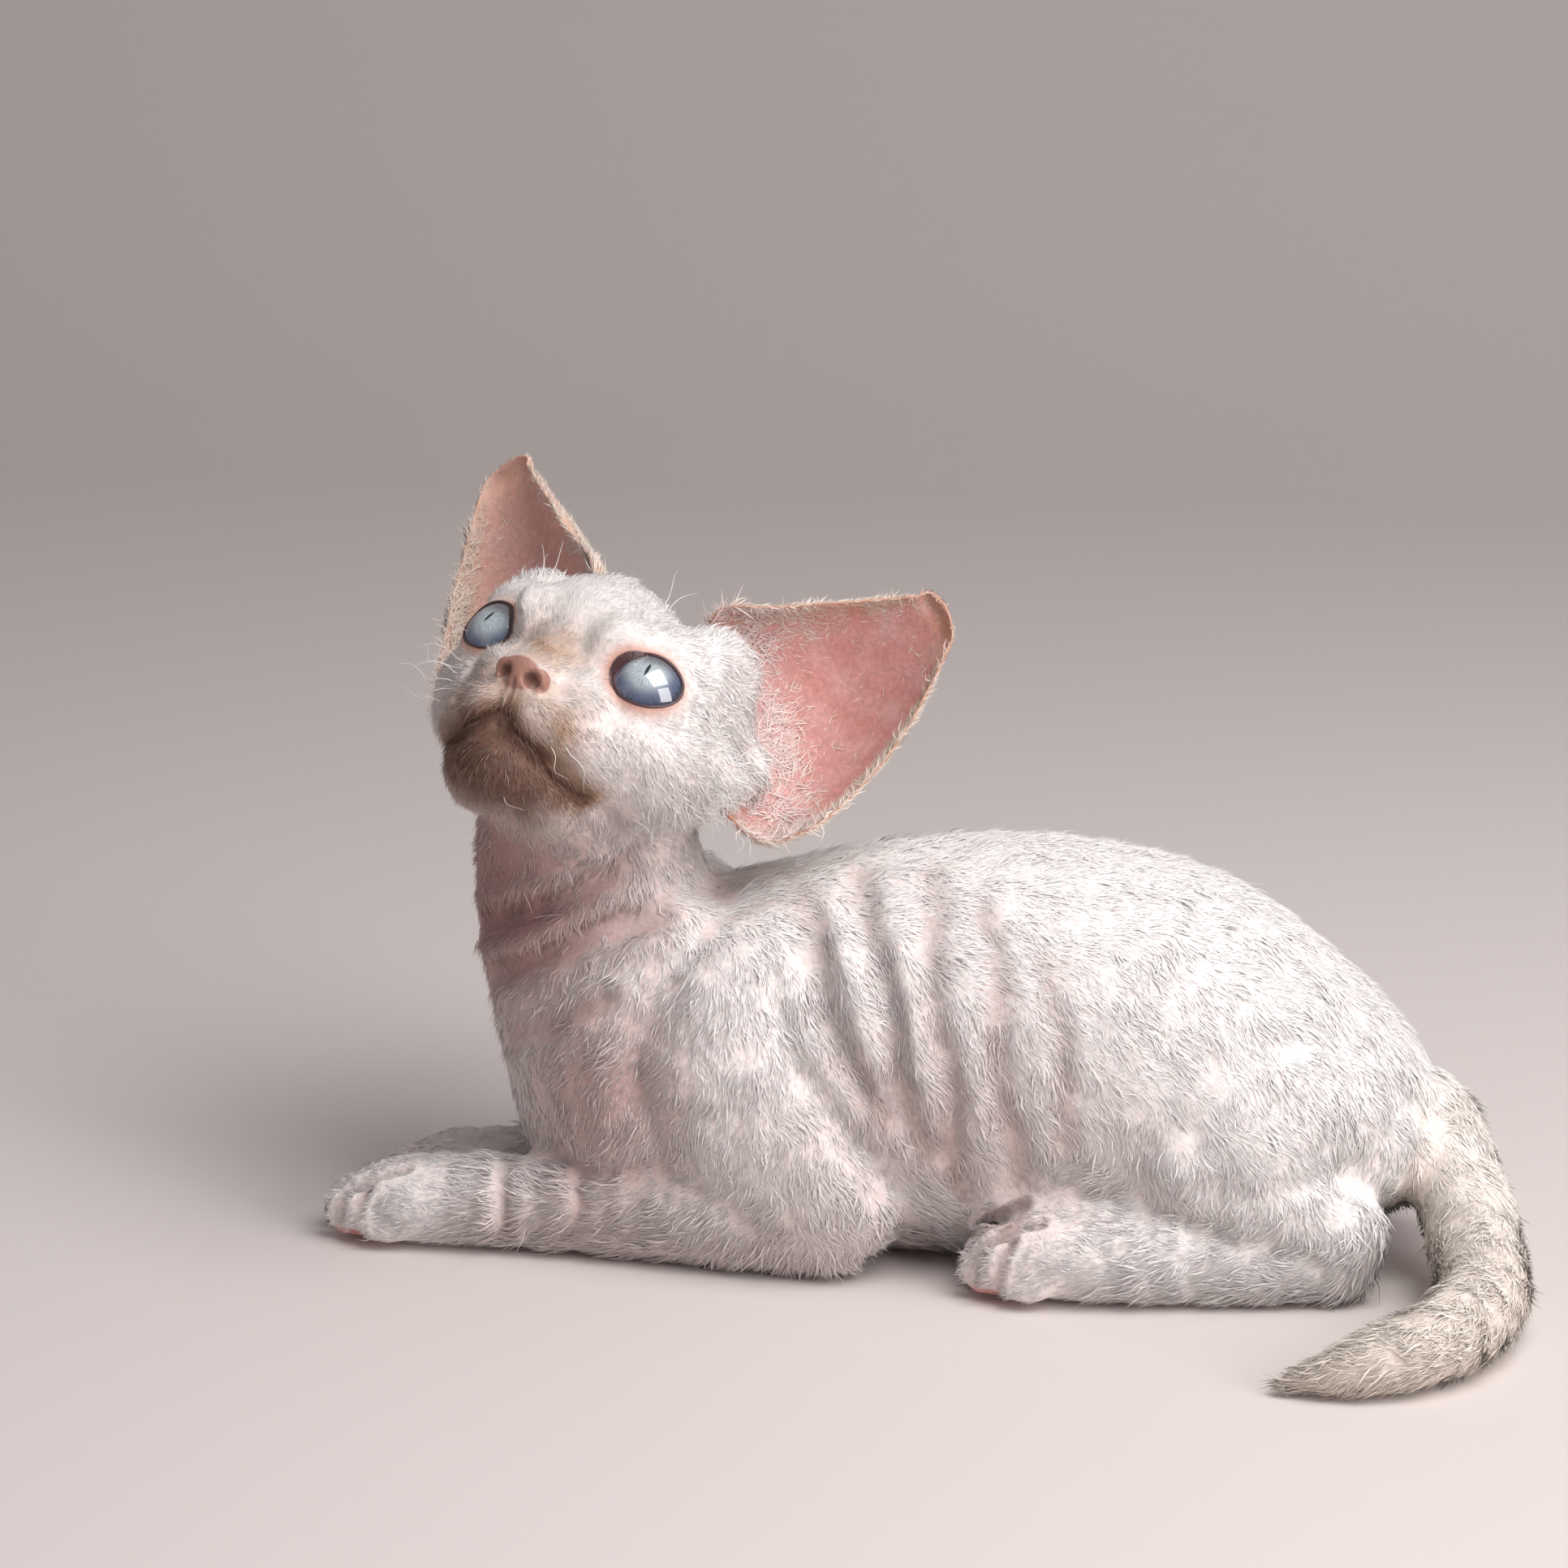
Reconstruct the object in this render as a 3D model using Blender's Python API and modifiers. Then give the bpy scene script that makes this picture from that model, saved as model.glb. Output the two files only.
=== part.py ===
"""A Devon Rex kitten about eight weeks old, lying on its chest with its head raised and turned.

A still, life-size model. All sizes are in millimetres and are scaled to metres by MM.
The kitten's body runs along X with its chest towards -X, its left side faces -Y, and the floor is Z = 0.
The head is built in its own frame (forward, left, up) with its origin between the eyes,
and placed by three named angles. One smooth body is made from tubes and balls that are fused
and smoothed, and it is then parted into named nodes with thin cuts.
"""

import math

import bmesh
import bpy
import numpy as np
from mathutils import Matrix, Vector
from mathutils.bvhtree import BVHTree

MM = 0.001
GAP = 0.3                     # clear space between two nodes
UP = Vector((0, 0, 1))
LEFT = -1                     # the kitten's left side is at -Y
RIGHT = 1

# Resolution of the fused body.
VOXEL = 1.5
SMOOTH_STEPS = 5
BODY_TRIANGLES = 6700
THIN_FACTOR = 1e-5           # small, because it is set against squared metres
FACE_REACH, FACE_WEIGHT = 27.0, 0.3       # round the face, the mesh is thinned by this weight
PAW_REACH, PAW_WEIGHT = 13.0, 0.5         # and round each paw's toes by this one

# Place of the body: the middle of its box, in plan, is brought to the origin.
CENTRE_SHIFT = Vector((-28.4, 19.6, 0))

# Torso, as (x, top, bottom, half width); the belly is trimmed flat by the floor.
TORSO = [
    (-33, 63, 12, 18),
    (-22, 68, 3, 25),
    (-8, 71.5, -2, 30),
    (10, 75, -2.5, 33),
    (30, 79, -2.5, 36),
    (50, 80, -2.5, 38),
    (70, 76, -2.5, 39),
    (88, 66.5, -2, 38),
    (103, 55, 2, 34),
    (115, 43, 6, 27),
    (124, 32, 11, 18),
]
# Chest and neck column, from the brisket up into the head: (x, y, z, half depth, half width).
NECK = [
    (-27, 0, 22, 24, 25),
    (-31, 0, 40, 24.5, 26),
    (-35, -0.5, 58, 23.5, 22.5),
    (-37.5, -2, 76, 22, 21),
    (-36, -5, 92, 20, 21),
]

# Foreleg, for the left side, as (x, y, z, half width, half height); the right one mirrors it.
SHOULDER_BLADE = [(4, -12, 60, 11, 12), (-6, -20, 50, 12, 17), (-8, -25, 38, 12, 19)]
BREAST = [(-20, -12, 60, 12, 14), (-26, -18, 44, 12.5, 18), (-25, -20, 28, 12, 17)]
UPPER_ARM = [(-10, -24, 38, 11, 18), (-2, -26, 29, 12, 18), (8, -27, 19.5, 12, 15.5), (14.5, -26.5, 14, 11, 12.5)]
FOREARM = [(12, -26, 12.5, 11, 13), (-8, -23.5, 12, 10.5, 12.5), (-28, -20.5, 10.5, 9.6, 11), (-46, -18, 9.2, 9.2, 9.8)]
FOREPAW = [(-44, -18, 9.2, 9.2, 9.6), (-58, -16.6, 9, 10, 9.4), (-70, -16, 8.2, 11, 8.6), (-76, -15.5, 7.2, 9.5, 7)]
FOREPAW_TOE = -80.0           # x of the middle toes' centres
FAR_FOREPAW_BACK = 6.0        # the right forepaw lies this much further back
FAR_FOREPAW_IN = 4.0          # and this much nearer the midline
FAR_FOREPAW_FLAT = 0.74       # and is flattened by this share

# Hind leg, for the left side, in the same form.
THIGH = [(104, -19, 34, 14, 15), (96, -24, 33, 15, 19), (88, -29, 30, 14, 18), (80, -32.5, 27, 10, 12)]
SHANK = [(80, -33, 26, 9, 10), (94, -31, 20, 10, 12), (107.5, -28.5, 13, 9.5, 10.5)]
HIND_FOOT = [(107, -28.5, 9.5, 8.8, 10), (92, -31, 9, 8.8, 10), (76, -33, 9.2, 9.2, 10)]
HINDPAW = [(78, -33, 9.2, 9.2, 10), (64, -33.5, 9.4, 10.2, 9.8), (53, -33.5, 9, 11, 9), (47, -33.5, 7.6, 9.8, 7.2)]
HINDPAW_TOE = 44.0            # x of the middle toes' centres

# Tail along its centreline: (x, y, z, radius). It leaves the rump, drops to the floor and curls round.
TAIL = [
    (117.5, -2, 30.5, 10.5),
    (124.2, -5, 26.8, 10.2),
    (128.5, -13, 20.2, 9.8),
    (132, -26, 14, 9.5),
    (134.2, -42, 9.6, 9.3),
    (132, -57, 8.6, 8.8),
    (125.5, -69.5, 7.9, 8.0),
    (116.5, -76, 6.7, 6.9),
    (107.5, -78.5, 4.7, 5.0),
    (99, -79, 2.2, 1.9),
]
TAIL_ACROSS = Vector((0.6, 0.2, 1))
TAIL_CUTS = (0.42, 0.7)        # where the tail is parted, as shares of its stations

# Toes of one paw, as (offset along the paw, offset across, size), from the inner to the outer toe.
TOES = [(5.5, 7.4, 0.88), (0.0, 2.7, 1.0), (0.4, -2.6, 1.0), (6.5, -7.6, 0.9)]
TOE_RADII = (7.2, 3.7, 5.6)
TOE_HEIGHT = 5.8

# Head frame: its origin lies between the eyes. Yaw turns it from -X towards the left side.
HEAD_ORIGIN = Vector((-37.7, -22, 118.2))
HEAD_YAW, HEAD_PITCH, HEAD_ROLL = 73.9, 42.8, -13.4

# The skull's fused forms in the head frame: (forward, left, up) and their radii.
SKULL_BALLS = [
    ((-29, 0, 3), (25, 25, 20.2)),        # cranium
    ((-12.5, 0, 6.5), (18.5, 17.5, 15)),  # forehead
    ((-2, 0, -2), (10, 8.5, 10)),         # between the eyes
    ((3, 0, -8), (9.4, 6.8, 6.5)),        # bridge of the nose
    ((0.5, 0, -14.5), (9.5, 11, 7)),      # muzzle
    ((8.4, 0, -10.0), (4.9, 6.1, 4.6)),   # nose tip
    ((1.4, 0, -26.2), (7.2, 8.4, 6.6)),   # chin
    ((-22, 0, -18), (19, 18, 13)),        # throat
]
# Forms that come in pairs, given for the left side.
SKULL_PAIRS = [
    ((-19, 18.5, -7), (17, 12.5, 15)),        # cheek
    ((-8, 15.5, 6), (9, 10, 8.5)),            # brow
    ((-9, 15.5, -10), (9.5, 9.5, 9)),         # cheekbone
    ((-6, 11.2, -16.5), (11, 9.4, 8.5)),      # side of the muzzle
    ((4.4, 5.4, -17.2), (6.8, 6.4, 5.8)),     # whisker pad
    ((-8, 7.5, -25.6), (10.5, 7.4, 6.8)),     # lower jaw
    ((-28, 26.5, -2), (9, 8, 11)),            # root of the ear
    ((-1.5, 9.5, 4), (9, 7, 8)),              # inner brow
    ((-1.5, 9, -8.5), (9, 6.5, 7)),           # side of the nose
    ((-18, 19, 10), (13, 10.5, 12)),          # temple
]

# Eye: a ball behind the lids, turned outwards, with an almond opening.
EYE_RADIUS = 9.4
EYE_CENTRE = (-7.3, 15.5, -0.3)
EYE_TURN, EYE_LIFT = 17.0, 3.0            # degrees outwards and upwards
LID = 1.3                                 # thickness of the lids over the ball
EYE_OPENING = (14.2, 11.2)                # width and height between the lids
EYE_SLANT = 9.0                           # the outer corner is higher by this angle
EYE_BACK = 0.15                           # the ball is cut flat behind this share of its radius

# Ear, left side, in the head frame: stations from inside the skull to the tip as
# (medial edge, lateral edge, depth of the cup).
EAR = [
    ((-22, 12, 17), (-29, 27, -7), 5),
    ((-14.9, 14.5, 24.2), (-33, 37, -9.5), 11),
    ((-17.5, 22.5, 29.4), (-35.5, 44, -2), 13),
    ((-19.8, 30.4, 34.3), (-35.5, 48.5, 9), 12.5),
    ((-21.3, 36, 37.8), (-33.8, 51.5, 19.5), 10),
    ((-22.6, 41, 41), (-31, 53, 29), 7),
    ((-24, 45.2, 43.9), (-28.2, 54, 37.8), 3.5),
]
EAR_TIP = (-25.8, 50, 44.6)
EAR_THICKNESS = 1.7

# Mouth, in the head frame, left half from the middle; the groove is cut where this line meets the skin.
MOUTH = [
    (9.3, 0, -17.8),
    (8.4, 3.2, -20.4),
    (7.9, 5.9, -21.8),
    (5.7, 9, -23.3),
    (1.9, 11.5, -24.5),
    (-2, 13.5, -24.2),
    (-5, 15.2, -23.6),
]
PHILTRUM = [(12.2, 0, -13.2), (10.8, 0, -15.4), (9.3, 0, -17.8)]
MOUTH_GROOVE = 0.85
NOSTRIL = (12.2, 3.1, -11.5)
NOSTRIL_RADII = (2.2, 1.3, 1.1)
NOSE_PAD_CENTRE, NOSE_PAD_RADII = (11.2, 0, -10.9), (4.4, 5.6, 3.6)

# Skin folds: (points on the left side, depth, half width); each is pressed into both sides.
FOLDS = [
    ([(-60, -10, 62), (-50, -20, 66), (-38, -24, 71), (-26, -22, 77)], 2.5, 3.4),
    ([(-58, -12, 52), (-48, -22, 58), (-34, -27, 65), (-20, -24, 71)], 2.3, 3.2),
    ([(-54, -14, 40), (-44, -25, 47), (-30, -30, 55)], 1.4, 3.0),
    ([(2, -14, 76), (8, -26, 62), (14, -33, 48), (22, -35, 34)], 1.8, 3.4),
    ([(14, -12, 79), (20, -28, 62), (25, -34, 44), (30, -37, 26)], 1.8, 3.2),
    ([(27, -14, 80), (31, -32, 60), (34, -37, 40), (36, -38, 16)], 1.4, 3.0),
    ([(40, -24, 76), (43, -36, 52), (46, -39, 34), (46, -39, 14)], 1.3, 3.0),
    ([(52, -30, 66), (55, -39, 48), (57, -40, 32)], 1.1, 2.8),
]
# Creases between the toes run back over the paw for this length, this deep and this wide.
TOE_CREASE_LENGTH, TOE_CREASE_DEPTH, TOE_CREASE_HALF = 9.5, 1.5, 1.5
TOE_CREASES = (5.2, 0.0, -5.3)

COAT_WHITE = (0.86, 0.82, 0.79, 1)
COAT_CREAM = (0.76, 0.66, 0.56, 1)
EAR_PINK = (0.74, 0.47, 0.43, 1)
NOSE_PINK = (0.45, 0.22, 0.19, 1)
EYE_BLUE = (0.24, 0.31, 0.40, 1)


def clear_scene():
    for obj in list(bpy.data.objects):
        bpy.data.objects.remove(obj)


def head_matrix():
    """Turns head-frame millimetres (forward, left, up) into body millimetres."""
    yaw, pitch, roll = (math.radians(a) for a in (HEAD_YAW, HEAD_PITCH, HEAD_ROLL))
    forward = Vector((-math.cos(yaw) * math.cos(pitch), -math.sin(yaw) * math.cos(pitch), math.sin(pitch)))
    level_left = UP.cross(forward).normalized()
    level_up = forward.cross(level_left)
    left = level_left * math.cos(roll) + level_up * math.sin(roll)
    up = forward.cross(left)
    turn = Matrix((forward, left, up)).transposed().to_4x4()
    return Matrix.Translation(HEAD_ORIGIN) @ turn


HEAD = head_matrix()


def on_side(point, side):
    """A point given for the left side of the body, on the side asked for."""
    return Vector((point[0], point[1] * -side, point[2]))


def head_point(point, side=LEFT):
    """A head-frame point given for the left side, as a body point on the side asked for."""
    return HEAD @ Vector((point[0], point[1] * -side, point[2]))


def smooth_rows(rows, steps):
    """Rows of numbers read from a Catmull-Rom curve through the given rows."""
    rows = np.array(rows, float)
    ends = np.vstack([2 * rows[0] - rows[1], rows, 2 * rows[-1] - rows[-2]])
    out = []
    for i in range(len(rows) - 1):
        a, b, c, d = ends[i : i + 4]
        for t in np.arange(steps) / steps:
            out.append(0.5 * (2 * b + (c - a) * t + (2 * a - 5 * b + 4 * c - d) * t**2 + (3 * b - a - 3 * c + d) * t**3))
    out.append(rows[-1])
    return np.array(out)


def tube(bm, stations, across, sides=18, steps=3, grow=0.0):
    """A closed tube of oval rings with domed ends; across is the way in which its half width is measured."""
    rows = smooth_rows(stations, steps)
    points = [Vector(r[:3]) for r in rows]
    sizes = [(r[3] + grow, r[4] + grow) for r in rows]
    first, last = (points[0] - points[1]).normalized(), (points[-1] - points[-2]).normalized()
    rings = []
    for angle in (80, 55, 28):
        rings.append((points[0], first, sizes[0], angle))
    rings += [(p, None, s, 0) for p, s in zip(points, sizes)]
    for angle in (28, 55, 80):
        rings.append((points[-1], last, sizes[-1], angle))
    made = []
    for k, (p, out, (wide, high), angle) in enumerate(rings):
        body = min(max(k - 3, 0), len(points) - 1)
        ahead = points[min(body + 1, len(points) - 1)] - points[max(body - 1, 0)]
        tangent = ahead.normalized()
        side = (across - tangent * across.dot(tangent)).normalized()
        over = tangent.cross(side)
        shrink = math.cos(math.radians(angle))
        centre = p + (out * min(wide, high) * math.sin(math.radians(angle)) if out else Vector())
        ring = []
        for j in range(sides):
            turn = math.tau * j / sides
            ring.append(bm.verts.new(centre + (side * wide * math.cos(turn) + over * high * math.sin(turn)) * shrink))
        made.append(ring)
    for one, two in zip(made, made[1:]):
        for j in range(sides):
            k = (j + 1) % sides
            bm.faces.new((one[j], one[k], two[k], two[j]))
    bm.faces.new(list(reversed(made[0])))
    bm.faces.new(made[-1])


def ball(bm, centre, radii, turn=None, segments=20, rings=12):
    """An ellipsoid; turn is the matrix that carries its own axes and its centre into body millimetres."""
    place = Matrix.Translation(Vector(centre)) @ Matrix.Diagonal((*radii, 1))
    bmesh.ops.create_uvsphere(bm, u_segments=segments, v_segments=rings, radius=1, matrix=(turn or Matrix()) @ place)


def to_object(bm, name, collection):
    """Turns a bmesh in millimetres into an object in metres, with its normals facing out."""
    bmesh.ops.recalc_face_normals(bm, faces=bm.faces)
    bmesh.ops.scale(bm, vec=(MM, MM, MM), verts=bm.verts)
    mesh = bpy.data.meshes.new(name)
    bm.to_mesh(mesh)
    bm.free()
    obj = bpy.data.objects.new(name, mesh)
    collection.objects.link(obj)
    return obj


def applied(obj):
    """Replaces an object's mesh by what its modifiers make of it."""
    bpy.context.view_layer.update()
    evaluated = obj.evaluated_get(bpy.context.evaluated_depsgraph_get())
    mesh = bpy.data.meshes.new_from_object(evaluated)
    obj.modifiers.clear()
    obj.data = mesh
    return obj


def boolean(obj, operation, other):
    modifier = obj.modifiers.new(operation.lower(), "BOOLEAN")
    modifier.operation = operation
    modifier.object = other
    modifier.solver = "MANIFOLD"
    return applied(obj)


def boolean_all(obj, operation, collection):
    """One Boolean with every object of a collection, which are then removed."""
    modifier = obj.modifiers.new(operation.lower(), "BOOLEAN")
    modifier.operation = operation
    modifier.operand_type = "COLLECTION"
    modifier.collection = collection
    modifier.solver = "MANIFOLD"
    applied(obj)
    for other in list(collection.objects):
        bpy.data.objects.remove(other)
    return obj


def keep_largest(obj):
    """Keeps the largest closed surface of a mesh, so that no scrap is left by a cut."""
    bm = bmesh.new()
    bm.from_mesh(obj.data)
    bmesh.ops.remove_doubles(bm, verts=bm.verts, dist=0.002 * MM)
    seen, groups = set(), []
    for start in bm.faces:
        if start in seen:
            continue
        stack, group = [start], []
        seen.add(start)
        while stack:
            face = stack.pop()
            group.append(face)
            for edge in face.edges:
                for other in edge.link_faces:
                    if other not in seen:
                        seen.add(other)
                        stack.append(other)
        groups.append(group)
    groups.sort(key=lambda g: sum(f.calc_area() for f in g))
    for group in groups[:-1]:
        bmesh.ops.delete(bm, geom=group, context="FACES")
    bmesh.ops.delete(bm, geom=[v for v in bm.verts if not v.link_faces], context="VERTS")
    bm.to_mesh(obj.data)
    bm.free()
    return obj


def toes(bm, side, middle, centre_y, flat):
    """The four toes of a paw that points towards -X."""
    for along, across, size in TOES:
        wide = [r * size for r in TOE_RADII]
        centre = (middle + along, centre_y + across, TOE_HEIGHT * flat)
        ball(bm, on_side(centre, side), (wide[0], wide[1], wide[2] * flat), segments=14, rings=8)


def sided(stations, side):
    return [(s[0], s[1] * -side, *s[2:]) for s in stations]


def torso_rows():
    return [(x, 0, (top + low) / 2, wide, (top - low) / 2) for x, top, low, wide in TORSO]


def limb_tubes(bm, parts, side, grow=0.0, sides=18):
    for stations in parts:
        tube(bm, sided(stations, side), Vector((0, 1, 0)), sides=sides, grow=grow)


def forearm_stations(side):
    """The right forearm grows flatter towards the paw than the left one."""
    if side == LEFT:
        return FOREARM
    last = len(FOREARM) - 1
    shares = [k / last for k in range(last + 1)]
    flats = [1 - (1 - FAR_FOREPAW_FLAT) * share for share in shares]
    return [
        (x, y + FAR_FOREPAW_IN * share, z * flat, wide, high * flat)
        for (x, y, z, wide, high), share, flat in zip(FOREARM, shares, flats)
    ]


def forepaw_stations(side):
    """The right paw lies flatter, nearer the midline and further back than the left one."""
    if side == LEFT:
        return FOREPAW
    last = len(FOREPAW) - 1
    flat = FAR_FOREPAW_FLAT
    return [
        (x + FAR_FOREPAW_BACK * k / last, y + FAR_FOREPAW_IN, z * flat, wide, high * flat)
        for k, (x, y, z, wide, high) in enumerate(FOREPAW)
    ]


def paws():
    """Every paw as (side, x of the middle toes, y of its middle, flattening)."""
    yield LEFT, FOREPAW_TOE, FOREPAW[-1][1], 1.0
    yield RIGHT, FOREPAW_TOE + FAR_FOREPAW_BACK, FOREPAW[-1][1] + FAR_FOREPAW_IN, FAR_FOREPAW_FLAT
    for side in (LEFT, RIGHT):
        yield side, HINDPAW_TOE, HINDPAW[-1][1], 1.0


def flesh():
    """Every form of the body and head as overlapping closed shapes in one mesh."""
    bm = bmesh.new()
    tube(bm, torso_rows(), Vector((0, 1, 0)), sides=28)
    tube(bm, NECK, Vector((1, 0, 0)), sides=24)
    for side in (LEFT, RIGHT):
        limb_tubes(bm, [BREAST, SHOULDER_BLADE, UPPER_ARM, forearm_stations(side), forepaw_stations(side)], side)
        limb_tubes(bm, [THIGH, SHANK, HIND_FOOT, HINDPAW], side)
    for paw in paws():
        toes(bm, *paw)
    tube(bm, [(*s, s[3]) for s in TAIL], TAIL_ACROSS, sides=16)
    for centre, radii in SKULL_BALLS:
        ball(bm, centre, radii, HEAD)
    for side in (LEFT, RIGHT):
        for centre, radii in SKULL_PAIRS:
            ball(bm, on_side(centre, side), radii, HEAD)
        ball(bm, on_side(EYE_CENTRE, side), [EYE_RADIUS + LID] * 3, HEAD)
    return bm


def crease_lines():
    """Every crease as (points, depth, half width): the folds on both sides, and those between the toes."""
    for points, depth, half in FOLDS:
        for side in (LEFT, RIGHT):
            yield [on_side(p, side) for p in points], depth, half
    for side, middle, centre_y, flat in paws():
        top = 2.1 * TOE_HEIGHT * flat
        for across in TOE_CREASES:
            front = middle - TOE_RADII[0] + 0.12 * across**2
            spots = [(front, 0.5 * top), (front + 2, 0.9 * top), (front + TOE_CREASE_LENGTH, 1.35 * top)]
            points = [on_side((x, centre_y + across, z), side) for x, z in spots]
            yield points, TOE_CREASE_DEPTH, TOE_CREASE_HALF


def press_creases(obj):
    """Presses the folds and creases into the surface, with a low ridge on each side of them."""
    tree = surface_tree(obj)
    mesh = obj.data
    count = len(mesh.vertices)
    co = np.empty(count * 3, np.float32)
    normal = np.empty(count * 3, np.float32)
    mesh.vertices.foreach_get("co", co)
    mesh.vertices.foreach_get("normal", normal)
    co = co.reshape(-1, 3).astype(float) / MM
    normal = normal.reshape(-1, 3)
    move = np.zeros(count)
    for points, depth, half in crease_lines():
        rows = smooth_rows([tuple(p) for p in points], 6)
        line = np.array([tree.find_nearest(Vector(row) * MM)[0] / MM for row in rows])
        share = np.linspace(0, 1, len(line))
        away = np.linalg.norm(co[:, None, :] - line[None, :, :], axis=2)
        nearest = away.argmin(1)
        d = away.min(1) / half
        fade = np.sin(np.pi * np.clip(share[nearest] * 0.86 + 0.07, 0, 1)) ** 0.5
        move += fade * depth * (0.4 * np.exp(-((d - 1.7) ** 2) / 0.5) - np.exp(-(d**2)))
    co += normal * move[:, None]
    mesh.vertices.foreach_set("co", (co * MM).astype(np.float32).ravel())
    mesh.update()


def weigh_for_thinning(obj):
    """Marks how far each place may be thinned: the face and the paws keep more of their points."""
    group = obj.vertex_groups.new(name="thin")
    face = HEAD @ Vector((0, 0, -8)) * MM
    paw_spots = [on_side((middle, centre_y, 6), side) * MM for side, middle, centre_y, _ in paws()]
    for vert in obj.data.vertices:
        weight = 1.0
        if (vert.co - face).length < FACE_REACH * MM:
            weight = FACE_WEIGHT
        elif min((vert.co - spot).length for spot in paw_spots) < PAW_REACH * MM:
            weight = PAW_WEIGHT
        group.add([vert.index], weight, "REPLACE")


def whole_body(collection):
    """The fused, smoothed and folded body, cut flat where it rests on the floor."""
    obj = to_object(flesh(), "whole", collection)
    remesh = obj.modifiers.new("fuse", "REMESH")
    remesh.mode = "VOXEL"
    remesh.voxel_size = VOXEL * MM
    smooth = obj.modifiers.new("soften", "SMOOTH")
    smooth.factor = 0.5
    smooth.iterations = SMOOTH_STEPS
    applied(obj)
    press_creases(obj)
    weigh_for_thinning(obj)
    thin = obj.modifiers.new("thin", "DECIMATE")
    thin.vertex_group = "thin"
    thin.vertex_group_factor = THIN_FACTOR
    thin.ratio = BODY_TRIANGLES / sum(len(p.vertices) - 2 for p in obj.data.polygons)
    thin.use_collapse_triangulate = True
    applied(obj)
    return boolean(obj, "DIFFERENCE", block("floor", (-150, -150, -30), (200, 150, 0), collection))


def block(name, low, high, collection, turn=None):
    """A box between two corners, in millimetres; turn carries it into place."""
    bm = bmesh.new()
    bmesh.ops.create_cube(bm, size=1)
    size = Vector(high) - Vector(low)
    middle = (Vector(high) + Vector(low)) / 2
    bmesh.ops.transform(bm, matrix=Matrix.Translation(middle) @ Matrix.Diagonal((*size, 1)), verts=bm.verts)
    if turn:
        bmesh.ops.transform(bm, matrix=turn, verts=bm.verts)
    return to_object(bm, name, collection)


def gaze(side):
    """The frame of one eye in body millimetres: its X looks out of the eye and its Y runs towards the nose side."""
    outwards = math.radians(EYE_TURN) * -side
    turn = Matrix.Rotation(outwards, 4, "Z") @ Matrix.Rotation(-math.radians(EYE_LIFT), 4, "Y")
    slant = Matrix.Rotation(math.radians(EYE_SLANT) * -side, 4, "X")
    return HEAD @ Matrix.Translation(on_side(EYE_CENTRE, side)) @ turn @ slant


def eyeball(name, side, grow, collection):
    """The front of the eyeball, cut flat behind."""
    bm = bmesh.new()
    radius = EYE_RADIUS + grow
    stand = Matrix.Rotation(math.radians(90), 4, "Y")
    bmesh.ops.create_uvsphere(bm, u_segments=22, v_segments=14, radius=radius, matrix=gaze(side) @ stand)
    back = gaze(side) @ Vector((EYE_RADIUS * EYE_BACK - grow, 0, 0))
    facing = (gaze(side).to_3x3() @ Vector((-1, 0, 0))).normalized()
    cut = bmesh.ops.bisect_plane(
        bm, geom=bm.verts[:] + bm.edges[:] + bm.faces[:], plane_co=back, plane_no=facing, clear_outer=True
    )
    rim = [e for e in cut["geom_cut"] if isinstance(e, bmesh.types.BMEdge)]
    bmesh.ops.contextual_create(bm, geom=rim)
    return to_object(bm, name, collection)


def lid_opening(name, side, collection):
    """An almond prism that opens the lids in front of the eyeball."""
    bm = bmesh.new()
    points = 22
    wide, high = EYE_OPENING[0] / 2, EYE_OPENING[1] / 2
    rings = []
    for x, spread in ((EYE_RADIUS * 0.45, 0.98), (EYE_RADIUS + 6, 1.1)):
        ring = []
        for k in range(points):
            turn = math.tau * k / points
            pointed = 1 - 0.16 * abs(math.cos(turn)) ** 3
            y = wide * math.cos(turn)
            z = high * math.sin(turn) * pointed
            ring.append(bm.verts.new(gaze(side) @ Vector((x, y * spread, z * spread))))
        rings.append(ring)
    for k in range(points):
        n = (k + 1) % points
        bm.faces.new((rings[0][k], rings[0][n], rings[1][n], rings[1][k]))
    bm.faces.new(rings[0])
    bm.faces.new(rings[1])
    return to_object(bm, name, collection)


def surface_tree(obj):
    return BVHTree.FromObject(obj, bpy.context.evaluated_depsgraph_get())


def groove(name, points, radius, obj, collection, sink=0.15):
    """A thin tube that follows the skin under a line, as a cutter for a crease."""
    tree = surface_tree(obj)
    line = smooth_rows([tuple(p) for p in points], 4)
    stations = []
    for row in line:
        spot, normal, _, _ = tree.find_nearest(Vector(row) * MM)
        centre = spot / MM - normal * sink
        stations.append((*centre, radius, radius))
    bm = bmesh.new()
    tube(bm, stations, Vector((0.3, 0.4, 1)), sides=8, steps=1)
    return to_object(bm, name, collection)


def carve_face(obj, cutters, work):
    """Opens the lids, nostrils and the line of the mouth."""
    for side in (LEFT, RIGHT):
        tag = "left" if side == LEFT else "right"
        eyeball("socket_" + tag, side, GAP, cutters)
        lid_opening("lids_" + tag, side, cutters)
        bm = bmesh.new()
        ball(bm, on_side(NOSTRIL, side), NOSTRIL_RADII, HEAD, segments=12, rings=8)
        to_object(bm, "nostril_" + tag, cutters)
    both = [head_point(p, RIGHT) for p in reversed(MOUTH[1:])] + [head_point(p) for p in MOUTH]
    groove("mouth", both, MOUTH_GROOVE, obj, cutters)
    groove("philtrum", [head_point(p) for p in PHILTRUM], MOUTH_GROOVE * 0.7, obj, cutters)
    boolean_all(obj, "DIFFERENCE", cutters)
    return keep_largest(obj)


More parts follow.
